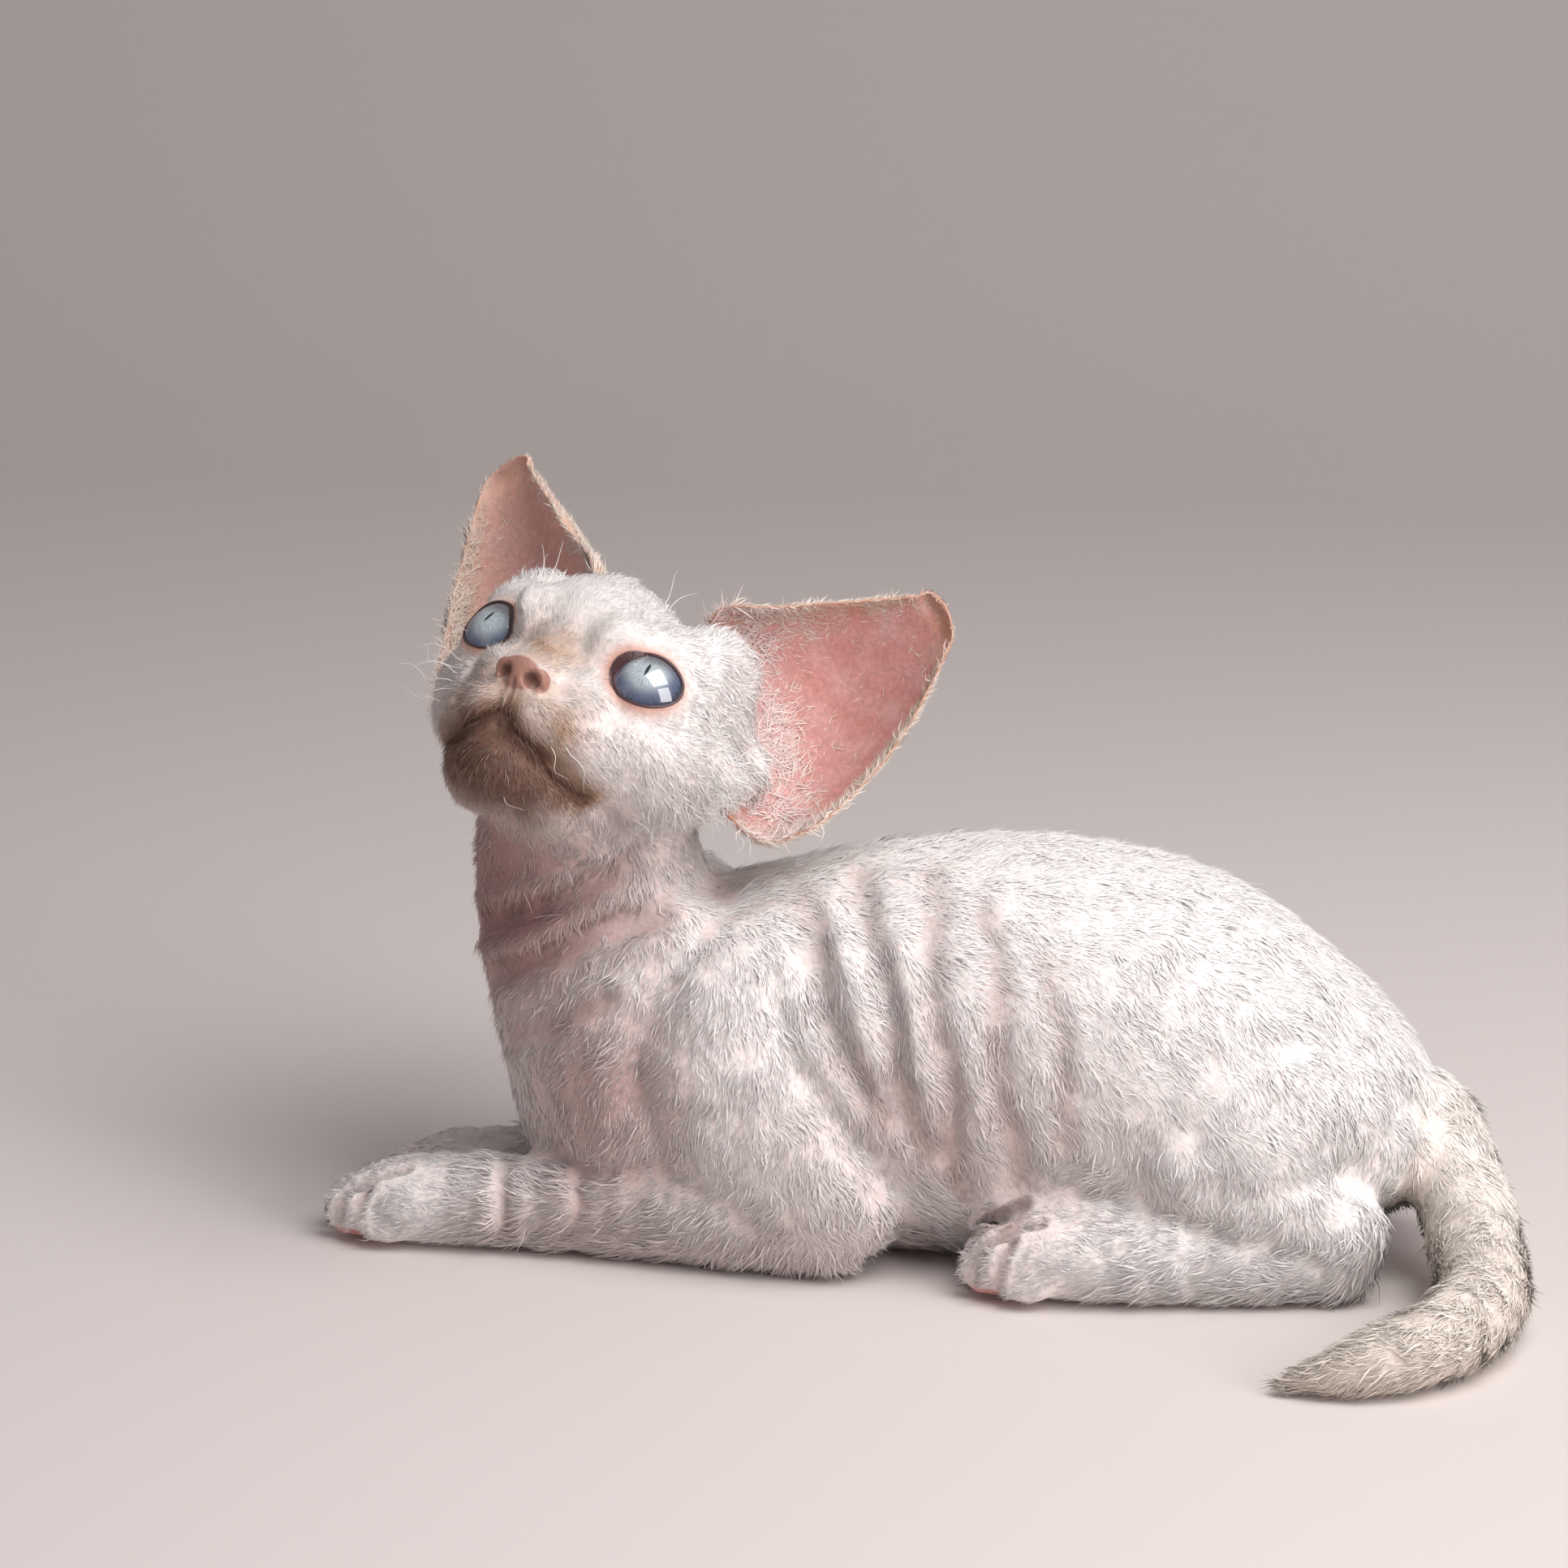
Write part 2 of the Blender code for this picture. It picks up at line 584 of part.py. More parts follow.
def ear_shell(name, side, collection):
    """A scooped ear: an open sheet from inside the skull to the tip, given its thickness."""
    bm = bmesh.new()
    across = 11
    medial = smooth_rows([s[0] for s in EAR], 2)
    lateral = smooth_rows([s[1] for s in EAR], 2)
    depth = smooth_rows([(s[2],) for s in EAR], 2)[:, 0]
    tip = Vector(EAR_TIP)
    root = (Vector(EAR[1][0]) + Vector(EAR[1][1])) / 2
    axis = (tip - root).normalized()
    rows = []
    for m, w, d in zip(medial, lateral, depth):
        m, w = Vector(m), Vector(w)
        back = (w - m).cross(axis).normalized()
        if back.x > 0:
            back = -back
        row = []
        for k in range(across):
            turn = math.pi * k / (across - 1)
            point = (m + w) / 2 + (m - w) / 2 * math.cos(turn) + back * d * math.sin(turn) ** 0.8
            row.append(bm.verts.new(head_point(point, side)))
        rows.append(row)
    for one, two in zip(rows, rows[1:]):
        for k in range(across - 1):
            bm.faces.new((one[k], one[k + 1], two[k + 1], two[k]))
    top = bm.verts.new(head_point(tip, side))
    for k in range(across - 1):
        bm.faces.new((rows[-1][k], rows[-1][k + 1], top))
    obj = to_object(bm, name, collection)
    shell = obj.modifiers.new("thickness", "SOLIDIFY")
    shell.thickness = EAR_THICKNESS * MM
    shell.offset = 0
    shell.use_even_offset = True
    return applied(obj)


def grown(obj, name, amount, collection):
    """A copy of a closed mesh pushed out along its normals."""
    bm = bmesh.new()
    bm.from_mesh(obj.data)
    bm.normal_update()
    for vert in bm.verts:
        vert.co += vert.normal * amount * MM * vert.calc_shell_factor()
    mesh = bpy.data.meshes.new(name)
    bm.to_mesh(mesh)
    bm.free()
    copy = bpy.data.objects.new(name, mesh)
    collection.objects.link(copy)
    return copy


def copy_of(obj, name, collection):
    copy = bpy.data.objects.new(name, obj.data.copy())
    collection.objects.link(copy)
    return copy


def region_block(low, high, turn=None):
    """Builds a box that grows by the gap, used to part the body with a plane."""

    def build(name, gap, collection):
        wide = Vector((gap, gap, gap))
        return block(name, Vector(low) - wide, Vector(high) + wide, collection, turn)

    return build


def plane_turn(origin, tilt_y, tilt_x=0.0):
    """A frame whose Z leans by the given angles."""
    return (
        Matrix.Translation(Vector(origin))
        @ Matrix.Rotation(math.radians(tilt_y), 4, "Y")
        @ Matrix.Rotation(math.radians(tilt_x), 4, "X")
    )


def tail_station(share):
    """Place and heading on the tail's centreline."""
    line = smooth_rows(TAIL, 6)
    k = int(round(share * (len(line) - 1)))
    return Vector(line[k][:3]), (Vector(line[k + 1][:3]) - Vector(line[k - 1][:3])).normalized()


def tail_region(name, gap, collection):
    """A fat tube round the tail from where it leaves the rump."""
    bm = bmesh.new()
    stations = [(x, y, z, radius, radius) for x, y, z, radius in TAIL[1:6]]
    tube(bm, stations, TAIL_ACROSS, sides=12, steps=1, grow=1.6 + gap)
    return to_object(bm, name, collection)


def half_space(origin, heading):
    """Builds a large block on the side of a plane to which heading points."""
    turn = Matrix.Translation(origin) @ heading.to_track_quat("Z", "Y").to_matrix().to_4x4()

    def build(name, gap, collection):
        return block(name, (-34, -34, -gap), (34, 34, 70), collection, turn)

    return build


def part_body(whole, parts, cutters):
    """Parts the whole body into its named nodes with thin cuts."""
    regions = [
        ("tail_tip", half_space(*tail_station(TAIL_CUTS[1]))),
        ("tail_middle", half_space(*tail_station(TAIL_CUTS[0]))),
        ("tail_root", tail_region),
        ("head", region_block((-110, -90, 0), (14, 90, 80), plane_turn((0, 0, 81), 0))),
        ("neck", region_block((-80, -60, 0), (70, 60, 60), plane_turn((-60, 0, 48), -24))),
    ]
    nose = HEAD @ Matrix.Translation(Vector(NOSE_PAD_CENTRE))

    def nose_region(name, gap, collection):
        bm = bmesh.new()
        ball(bm, (0, 0, 0), [r + gap for r in NOSE_PAD_RADII], nose, segments=16, rings=10)
        return to_object(bm, name, collection)

    regions.insert(0, ("nose", nose_region))
    for side, tag in ((LEFT, "left"), (RIGHT, "right")):
        shift = FAR_FOREPAW_BACK if side == RIGHT else 0
        regions += [
            ("forepaw_" + tag, side_block((-110, -45, -5), (-51.5 + shift * 0.3, -1.5, 21), side)),
            ("foreleg_" + tag, leg_region([UPPER_ARM, FOREARM], side, 2.6)),
            ("hindpaw_" + tag, leg_region([HINDPAW], side, 3.2)),
            ("hindleg_" + tag, leg_region([THIGH, SHANK, HIND_FOOT], side, 2.6)),
        ]
    rest = whole
    for name, build in regions:
        node = copy_of(rest, name, parts)
        boolean(node, "INTERSECT", build("cut", 0, cutters))
        keep_largest(node)
        boolean(rest, "DIFFERENCE", build("cut", GAP, cutters))
        for cutter in list(cutters.objects):
            bpy.data.objects.remove(cutter)
        keep_largest(rest)
        triangulated(node)
        triangulated(rest)
    rest.name = "torso"
    return rest


def side_block(low, high, side):
    """A box given for the left side, on the side asked for."""
    y = sorted((low[1] * -side, high[1] * -side))
    return region_block((low[0], y[0], low[2]), (high[0], y[1], high[2]))


def leg_region(parts, side, grow):
    """Several fat tubes fused into one region."""

    def build(name, gap, collection):
        first = None
        for stations in parts:
            bm = bmesh.new()
            tube(bm, sided(stations, side), Vector((0, 1, 0)), sides=11, steps=1, grow=grow + gap)
            piece = to_object(bm, name, collection)
            if first is None:
                first = piece
                continue
            boolean(first, "UNION", piece)
            bpy.data.objects.remove(piece)
        return keep_largest(first)

    return build


def triangulated(obj):
    """Leaves triangles only, with the points that a cut left almost on top of one another made one."""
    bm = bmesh.new()
    bm.from_mesh(obj.data)
    bmesh.ops.triangulate(bm, faces=bm.faces)
    bmesh.ops.dissolve_degenerate(bm, dist=0.01 * MM, edges=bm.edges)
    bmesh.ops.triangulate(bm, faces=bm.faces)
    bm.to_mesh(obj.data)
    bm.free()


def make_ears(whole, parts, cutters):
    for side, tag in ((LEFT, "left"), (RIGHT, "right")):
        ear = ear_shell("ear_" + tag, side, parts)
        root = grown(whole, "root", GAP, cutters)
        boolean(ear, "DIFFERENCE", root)
        bpy.data.objects.remove(root)
        keep_largest(ear)
        triangulated(ear)


def make_eyes(parts):
    for side, tag in ((LEFT, "left"), (RIGHT, "right")):
        eye = eyeball("eye_" + tag, side, 0, parts)
        triangulated(eye)


def material(name, colour, roughness):
    made = bpy.data.materials.new(name)
    made.use_nodes = True
    shader = made.node_tree.nodes["Principled BSDF"]
    shader.inputs["Base Color"].default_value = colour
    shader.inputs["Roughness"].default_value = roughness
    shader.inputs["Metallic"].default_value = 0.0
    return made


def dress(parts):
    """Gives each node its own material and smooth shading, and brings the body's middle to the origin."""
    for obj in list(parts.objects):
        name = obj.name
        if name.startswith("eye"):
            look = material(name, EYE_BLUE, 0.08)
        elif name.startswith("ear"):
            look = material(name, EAR_PINK, 0.7)
        elif name == "nose":
            look = material(name, NOSE_PINK, 0.45)
        elif name.startswith("tail"):
            look = material(name, COAT_CREAM, 0.9)
        else:
            look = material(name, COAT_WHITE, 0.9)
        obj.data.materials.clear()
        obj.data.materials.append(look)
        obj.data.transform(Matrix.Translation(CENTRE_SHIFT * MM))
        obj.data.shade_smooth()
        obj.data.set_sharp_from_angle(angle=math.radians(50))


def main():
    clear_scene()
    scene = bpy.context.scene.collection
    parts = bpy.data.collections.new("devon_rex_kitten")
    cutters = bpy.data.collections.new("cutters")
    cutters.hide_render = True
    scene.children.link(parts)
    scene.children.link(cutters)
    whole = whole_body(parts)
    for cutter in [o for o in parts.objects if o.name.startswith("floor")]:
        bpy.data.objects.remove(cutter)
    make_ears(whole, parts, cutters)
    carve_face(whole, cutters, parts)
    make_eyes(parts)
    part_body(whole, parts, cutters)
    dress(parts)


if __name__ == "__main__":
    main()
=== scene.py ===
"""Skin, coat, eyes, whiskers, floor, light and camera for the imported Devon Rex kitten.

Named lengths are in millimetres in the design frame that part.py uses: the kitten's chest looks towards -X,
its left side faces -Y and the floor is Z = 0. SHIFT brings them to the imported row, which is in metres.
"""

import math

import bmesh
import bpy
import numpy as np
from mathutils import Matrix, Vector
from mathutils.bvhtree import BVHTree

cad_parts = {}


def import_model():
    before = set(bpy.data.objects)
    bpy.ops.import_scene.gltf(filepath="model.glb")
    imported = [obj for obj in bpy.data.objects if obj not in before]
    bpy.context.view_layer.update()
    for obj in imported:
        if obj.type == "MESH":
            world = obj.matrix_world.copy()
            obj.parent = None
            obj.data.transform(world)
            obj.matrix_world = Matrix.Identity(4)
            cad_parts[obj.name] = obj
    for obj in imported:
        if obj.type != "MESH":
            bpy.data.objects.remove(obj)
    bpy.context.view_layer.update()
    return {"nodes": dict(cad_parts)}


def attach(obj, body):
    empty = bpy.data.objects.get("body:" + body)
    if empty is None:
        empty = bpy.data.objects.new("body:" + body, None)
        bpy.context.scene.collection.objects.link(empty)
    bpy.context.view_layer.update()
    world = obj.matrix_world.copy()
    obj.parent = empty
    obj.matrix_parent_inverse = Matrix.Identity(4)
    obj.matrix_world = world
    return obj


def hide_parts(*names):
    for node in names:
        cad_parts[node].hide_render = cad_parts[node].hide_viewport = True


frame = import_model()

MM = 0.001
LEFT, RIGHT = SIDES = -1, 1
SHIFT = np.array([-28.4, 19.6, 0.0])

# Forms of the body, as in part.py.
TORSO = [
    (-33, 63, 12, 18), (-22, 68, 3, 25), (-8, 71.5, -2, 30), (10, 75, -2.5, 33), (30, 79, -2.5, 36),
    (50, 80, -2.5, 38), (70, 76, -2.5, 39), (88, 66.5, -2, 38), (103, 55, 2, 34), (115, 43, 6, 27),
    (124, 32, 11, 18),
]
NECK = [
    (-27, 0, 22, 24, 25), (-31, 0, 40, 24.5, 26), (-35, -0.5, 58, 23.5, 22.5), (-37.5, -2, 76, 22, 21),
    (-36, -5, 92, 20, 21),
]
SHOULDER_BLADE = [(4, -12, 60, 11, 12), (-6, -20, 50, 12, 17), (-8, -25, 38, 12, 19)]
BREAST = [(-20, -12, 60, 12, 14), (-26, -18, 44, 12.5, 18), (-25, -20, 28, 12, 17)]
UPPER_ARM = [
    (-10, -24, 38, 11, 18), (-2, -26, 29, 12, 18),
    (8, -27, 19.5, 12, 15.5), (14.5, -26.5, 14, 11, 12.5),
]
FOREARM = [
    (12, -26, 12.5, 11, 13), (-8, -23.5, 12, 10.5, 12.5),
    (-28, -20.5, 10.5, 9.6, 11), (-46, -18, 9.2, 9.2, 9.8),
]
FOREPAW = [
    (-44, -18, 9.2, 9.2, 9.6), (-58, -16.6, 9, 10, 9.4),
    (-70, -16, 8.2, 11, 8.6), (-76, -15.5, 7.2, 9.5, 7),
]
FOREPAW_TOE = -80.0
FAR_FOREPAW_BACK = 6.0
FAR_FOREPAW_IN = 4.0
FAR_FOREPAW_FLAT = 0.74
THIGH = [(104, -19, 34, 14, 15), (96, -24, 33, 15, 19), (88, -29, 30, 14, 18), (80, -32.5, 27, 10, 12)]
SHANK = [(80, -33, 26, 9, 10), (94, -31, 20, 10, 12), (107.5, -28.5, 13, 9.5, 10.5)]
HIND_FOOT = [(107, -28.5, 9.5, 8.8, 10), (92, -31, 9, 8.8, 10), (76, -33, 9.2, 9.2, 10)]
HINDPAW = [
    (78, -33, 9.2, 9.2, 10), (64, -33.5, 9.4, 10.2, 9.8),
    (53, -33.5, 9, 11, 9), (47, -33.5, 7.6, 9.8, 7.2),
]
HINDPAW_TOE = 44.0
TAIL = [
    (117.5, -2, 30.5, 10.5), (124.2, -5, 26.8, 10.2), (128.5, -13, 20.2, 9.8), (132, -26, 14, 9.5),
    (134.2, -42, 9.6, 9.3), (132, -57, 8.6, 8.8), (125.5, -69.5, 7.9, 8.0), (116.5, -76, 6.7, 6.9),
    (107.5, -78.5, 4.7, 5.0), (99, -79, 2.2, 1.9),
]
TOES = [(5.5, 7.4, 0.88), (0.0, 2.7, 1.0), (0.4, -2.6, 1.0), (6.5, -7.6, 0.9)]
TOE_RADII = (7.2, 3.7, 5.6)
TOE_HEIGHT = 5.8
TOE_CREASES = (5.2, 0.0, -5.3)
# Creases between the toes and beside the outer ones, as (depth, half width) and the places they rise through.
TOE_CREASE, SIDE_CREASE = (2.6, 1.25), (1.9, 1.2)
TOE_CREASE_RISE = [(0.6, 0.3), (1.2, 0.8), (5, 1.15), (12, 1.35)]
SIDE_CREASE_RISE = [(0.4, 8.4, 0.35), (0.8, 7.8, 0.9), (3, 6.6, 1.3)]

# Forms of the head, in its own frame (forward, left, up), as in part.py.
HEAD_ORIGIN = (-37.7, -22, 118.2)
HEAD_YAW, HEAD_PITCH, HEAD_ROLL = 73.9, 42.8, -13.4
SKULL_BALLS = [
    ((-29, 0, 3), (25, 25, 20.2)), ((-12.5, 0, 6.5), (18.5, 17.5, 15)), ((-2, 0, -2), (10, 8.5, 10)),
    ((3, 0, -8), (9.4, 6.8, 6.5)), ((0.5, 0, -14.5), (9.5, 11, 7)), ((8.4, 0, -10.0), (4.9, 6.1, 4.6)),
    ((1.4, 0, -26.2), (7.2, 8.4, 6.6)), ((-22, 0, -18), (19, 18, 13)),
]
SKULL_PAIRS = [
    ((-19, 18.5, -7), (17, 12.5, 15)), ((-8, 15.5, 6), (9, 10, 8.5)), ((-9, 15.5, -10), (9.5, 9.5, 9)),
    ((-6, 11.2, -16.5), (11, 9.4, 8.5)), ((4.4, 5.4, -17.2), (6.8, 6.4, 5.8)),
    ((-8, 7.5, -25.6), (10.5, 7.4, 6.8)), ((-28, 26.5, -2), (9, 8, 11)), ((-1.5, 9.5, 4), (9, 7, 8)),
    ((-1.5, 9, -8.5), (9, 6.5, 7)), ((-18, 19, 10), (13, 10.5, 12)),
]
EYE_RADIUS = 9.4
EYE_CENTRE = (-7.3, 15.5, -0.3)
EYE_TURN, EYE_LIFT, EYE_SLANT = 17.0, 3.0, 9.0
EYE_OPENING = (13.9, 10.5)
EYE_CORNER = (5.2, -8.0, -1.2)
LID = 1.3
EAR = [
    ((-22, 12, 17), (-29, 27, -7), 5), ((-14.9, 14.5, 24.2), (-33, 37, -9.5), 11),
    ((-17.5, 22.5, 29.4), (-35.5, 44, -2), 13), ((-19.8, 30.4, 34.3), (-35.5, 48.5, 9), 12.5),
    ((-21.3, 36, 37.8), (-33.8, 51.5, 19.5), 10), ((-22.6, 41, 41), (-31, 53, 29), 7),
    ((-24, 45.2, 43.9), (-28.2, 54, 37.8), 3.5),
]
EAR_TIP = (-25.8, 50, 44.6)
MOUTH = [
    (9.3, 0, -17.8), (8.4, 3.2, -20.4), (7.9, 5.9, -21.8), (5.7, 9, -23.3), (1.9, 11.5, -24.5),
    (-2, 13.5, -24.2), (-5, 15.2, -23.6),
]
PHILTRUM = [(12.2, 0, -13.2), (10.8, 0, -15.4), (9.3, 0, -17.8)]
NOSTRIL = (12.2, 3.0, -11.7)
NOSTRIL_RADII = (2.6, 1.45, 1.35)
NOSTRIL_SLIT = [(12.0, 3.4, -11.6), (10.8, 5.0, -12.0), (9.4, 6.0, -12.4)]

# Folds, as (points on the left side, depth, half width).
FOLDS = [
    ([(-60, -10, 62), (-50, -20, 66), (-38, -24, 71), (-26, -22, 77)], 3.1, 3.0),
    ([(-58, -12, 52), (-48, -22, 58), (-34, -27, 65), (-20, -24, 71)], 2.8, 2.8),
    ([(-54, -14, 40), (-44, -25, 47), (-30, -30, 55)], 1.4, 2.6),
    ([(2, -14, 76), (8, -26, 62), (14, -33, 48), (22, -35, 34)], 1.8, 3.0),
    ([(14, -12, 79), (20, -28, 62), (25, -34, 44), (30, -37, 26)], 1.8, 2.8),
    ([(27, -14, 80), (31, -32, 60), (34, -37, 40), (36, -38, 16)], 1.1, 2.6),
    ([(40, -24, 76), (43, -36, 52), (46, -39, 34), (46, -39, 14)], 0.8, 2.6),
    ([(-50, -28, 3), (-49, -29, 10), (-50, -25, 17), (-51, -18, 19)], 1.5, 1.8),
    ([(-38, -29, 4), (-36, -30, 11), (-37, -25, 19)], 0.7, 1.8),
    ([(52, -30, 66), (55, -39, 48), (57, -40, 32)], 0.6, 2.4),
]

# Colours, as linear red, green and blue.
HAIR_WHITE = (0.90, 0.87, 0.855)
HAIR_CREAM = (0.85, 0.73, 0.61)
HAIR_TAN = (0.44, 0.28, 0.19)
HAIR_BROWN = (0.125, 0.052, 0.034)
# HAIR_GREY is painted shade in the frown over the eyes.
HAIR_GREY = (0.46, 0.38, 0.32)
# HAIR_ROSE is painted shade: the rosy shadow on the white coat's throat, breast, flank and folds.
HAIR_ROSE = (0.47, 0.29, 0.265)
HAIR_BLUSH = (0.86, 0.70, 0.66)
SKIN_PALE = (0.70, 0.47, 0.43)
SKIN_PINK = (0.56, 0.29, 0.27)
# SKIN_MAUVE is the throat's pink skin, darkened as painted shade there and in the folds.
SKIN_MAUVE = (0.36, 0.19, 0.19)
PAD_PINK = (0.68, 0.33, 0.31)
EAR_PINK = (0.62, 0.29, 0.275)
EAR_TAN = (0.50, 0.26, 0.17)
# Painted light: a paler tone that lightens the far ear, which gets little light.
FAR_EAR_PAINTED_LIGHT = (0.84, 0.56, 0.46)
NOSE_LEATHER = (0.37, 0.19, 0.15)
# Painted shade in the nostrils' holes and slits.
NOSTRIL_SHADE = (0.03, 0.012, 0.01)
LIP_BROWN = (0.10, 0.04, 0.03)
CORNER_PINK = (0.42, 0.17, 0.19)
RIM_DARK = (0.07, 0.03, 0.035)
LID_PINK = (0.56, 0.28, 0.21)

# Camera: it looks at AIM from this azimuth, elevation and distance.
AIM = (0, 0, 88.56)
CAMERA_AZIMUTH, CAMERA_ELEVATION, CAMERA_DISTANCE = 7.0, 15.0, 1050.0
CAMERA_LENS, CAMERA_SENSOR = 127.17, 36.0

rng = np.random.default_rng(7)


# Small helpers.


def row(point):
    """A design point in millimetres as a row point in metres."""
    return Vector((np.array(point, float) + SHIFT) * MM)


def head_matrix():
    """Turns head-frame millimetres (forward, left, up) into design millimetres."""
    yaw, pitch, roll = (math.radians(a) for a in (HEAD_YAW, HEAD_PITCH, HEAD_ROLL))
    forward = Vector((-math.cos(yaw) * math.cos(pitch), -math.sin(yaw) * math.cos(pitch), math.sin(pitch)))
    level_left = Vector((0, 0, 1)).cross(forward).normalized()
    level_up = forward.cross(level_left)
    left = level_left * math.cos(roll) + level_up * math.sin(roll)
    turn = Matrix((forward, left, forward.cross(left))).transposed().to_4x4()
    return Matrix.Translation(HEAD_ORIGIN) @ turn


HEAD = head_matrix()
HEAD_ARRAY = np.array(HEAD)


def on_side(point, side):
    return Vector((point[0], point[1] * -side, point[2]))


def head_point(point, side=LEFT):
    return HEAD @ on_side(point, side)


def unit(vectors):
    return vectors / np.maximum(np.linalg.norm(vectors, axis=-1, keepdims=True), 1e-9)


def distance(points, place):
    return np.linalg.norm(points - np.array(place), axis=1)


def to_head(points):
    """Design points as head-frame points."""
    return (points - HEAD_ARRAY[:3, 3]) @ HEAD_ARRAY[:3, :3]


def smooth_rows(rows, steps):
    """Rows of numbers read from a Catmull-Rom curve through the given rows."""
    rows = np.array(rows, float)
    ends = np.vstack([2 * rows[0] - rows[1], rows, 2 * rows[-1] - rows[-2]])
    t = (np.arange(steps) / steps)[:, None]
    out = []
    for i in range(len(rows) - 1):
        a, b, c, d = ends[i : i + 4]
        out.append(
            0.5 * (2 * b + (c - a) * t + (2 * a - 5 * b + 4 * c - d) * t**2 + (3 * b - a - 3 * c + d) * t**3)
        )
    return np.vstack([*out, rows[-1]])


def ramp(value, low, high):
    """0 below low, 1 above high, smooth between."""
    t = np.clip((value - low) / (high - low), 0, 1)
    return t * t * (3 - 2 * t)


def within(points, place, near, far):
    """1 nearer to a place than near, 0 beyond far, smooth between."""
    return 1 - ramp(distance(points, place), near, far)


def blob(points, centre, radius):
    """A soft spot: 1 at the centre, about 0 two radii away; radius may be a triple."""
    away = (points - np.array(centre, float)) / np.array(radius, float)
    return np.exp(-(away**2).sum(1))


def mix(colour, other, share):
    return colour + (np.array(other) - colour) * np.clip(share, 0, 1)[:, None]


def layered(colour, *layers):
    """Colours with more tones laid over them in turn, each as (tone, share)."""
    for tone, share in layers:
        colour = mix(colour, tone, share)
    return colour


def plain(tone, count):
    return np.tile(np.array(tone), (count, 1))


def mirrored_head(co):
    """Head-frame coordinates with the left one made positive."""
    local = to_head(co)
    local[:, 1] = np.abs(local[:, 1])
    return local


def waves(co, height, scale, seed, count=7):
    """Smooth noise between about -height and height, from a few plane waves."""
    draw = np.random.default_rng(seed)
    total = np.zeros(len(co))
    for _ in range(count):
        direction = unit(draw.normal(size=3))
        wavelength = scale * draw.uniform(0.6, 1.7)
        total += np.sin(co @ direction * (math.tau / wavelength) + draw.uniform(0, math.tau))
    return height * (total / math.sqrt(count / 2) / 1.6)


# Waves as (height, length in millimetres, seed): of skin, colours and the tufts' turn, lift and length.
FINE_RIPPLE, BROAD_RIPPLE = (0.12, 5.5, 31), (0.14, 9, 32)
FACE_PATCHES, SKIN_PATCHES, EAR_FLECKS = (0.3, 6, 11), (0.25, 7, 12), (1, 3.5, 13)
BROAD_SWING, FINE_SWING = (0.38, 13, 21), (0.28, 5, 22)
LIFT_WAVE, LENGTH_WAVE = (6, 7, 23), (0.15, 9, 24)


def polyline_distance(co, line, reach):
    near, away, _ = line_distance(co, line, reach)
    out = np.full(len(co), reach)
    out[near] = away
    return out


# Forms.


def tube(bm, stations, across, sides=18, steps=3):
    """A closed tube of oval rings with domed ends; across is the way in which its half width is measured."""
    rows = smooth_rows(stations, steps)
    points = [Vector(r[:3]) for r in rows]
    sizes = [(r[3], r[4]) for r in rows]
    first, last = (points[0] - points[1]).normalized(), (points[-1] - points[-2]).normalized()
    rings = [(points[0], first, sizes[0], angle) for angle in (80, 55, 28)]
    rings += [(p, None, s, 0) for p, s in zip(points, sizes)]
    rings += [(points[-1], last, sizes[-1], angle) for angle in (28, 55, 80)]
    made = []
    for k, (p, out, (wide, high), angle) in enumerate(rings):
        body = min(max(k - 3, 0), len(points) - 1)
        ahead = points[min(body + 1, len(points) - 1)] - points[max(body - 1, 0)]
        tangent = ahead.normalized()
        side = (across - tangent * across.dot(tangent)).normalized()
        over = tangent.cross(side)
        shrink = math.cos(math.radians(angle))
        centre = p + (out * min(wide, high) * math.sin(math.radians(angle)) if out else Vector())
        ring = []
        for j in range(sides):
            turn = math.tau * j / sides
            spot = side * wide * math.cos(turn) + over * high * math.sin(turn)
            ring.append(bm.verts.new(centre + spot * shrink))
        made.append(ring)
    for one, two in zip(made, made[1:]):
        for j in range(sides):
            k = (j + 1) % sides
            bm.faces.new((one[j], one[k], two[k], two[j]))
    bm.faces.new(list(reversed(made[0])))
    bm.faces.new(made[-1])


def ball(bm, centre, radii, turn=None, segments=24, rings=14):
    place = Matrix.Translation(Vector(centre)) @ Matrix.Diagonal((*radii, 1))
    if turn is not None:
        place = turn @ place
    bmesh.ops.create_uvsphere(bm, u_segments=segments, v_segments=rings, radius=1, matrix=place)


def linked(name, data):
    """A new object in the scene."""
    obj = bpy.data.objects.new(name, data)
    bpy.context.scene.collection.objects.link(obj)
    return obj


def filed(obj):
    """Lets the object ride on the one body."""
    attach(obj, "root")


def named(name, side):
    return f"{name}_left" if side == LEFT else f"{name}_right"


def to_object(bm, name):
    """Turns a bmesh in design millimetres into an object in the row frame."""
    bmesh.ops.recalc_face_normals(bm, faces=bm.faces)
    bmesh.ops.translate(bm, vec=Vector(SHIFT), verts=bm.verts)
    bmesh.ops.scale(bm, vec=(MM, MM, MM), verts=bm.verts)
    mesh = bpy.data.meshes.new(name)
    bm.to_mesh(mesh)
    bm.free()
    return linked(name, mesh)


def applied(obj):
    bpy.context.view_layer.update()
    evaluated = obj.evaluated_get(bpy.context.evaluated_depsgraph_get())
    mesh = bpy.data.meshes.new_from_object(evaluated)
    obj.modifiers.clear()
    obj.data = mesh
    return obj


def boolean(obj, operation, other):
    modifier = obj.modifiers.new(operation.lower(), "BOOLEAN")
    modifier.operation = operation
    modifier.object = other
    modifier.solver = "MANIFOLD"
    applied(obj)
    bpy.data.objects.remove(other)
    return obj


def read_rows(collection, name, width, kind=np.float32):
    """One property of a whole collection, as rows of numbers."""
    out = np.empty(len(collection) * width, kind)
    collection.foreach_get(name, out)
    return out.reshape(-1, width)


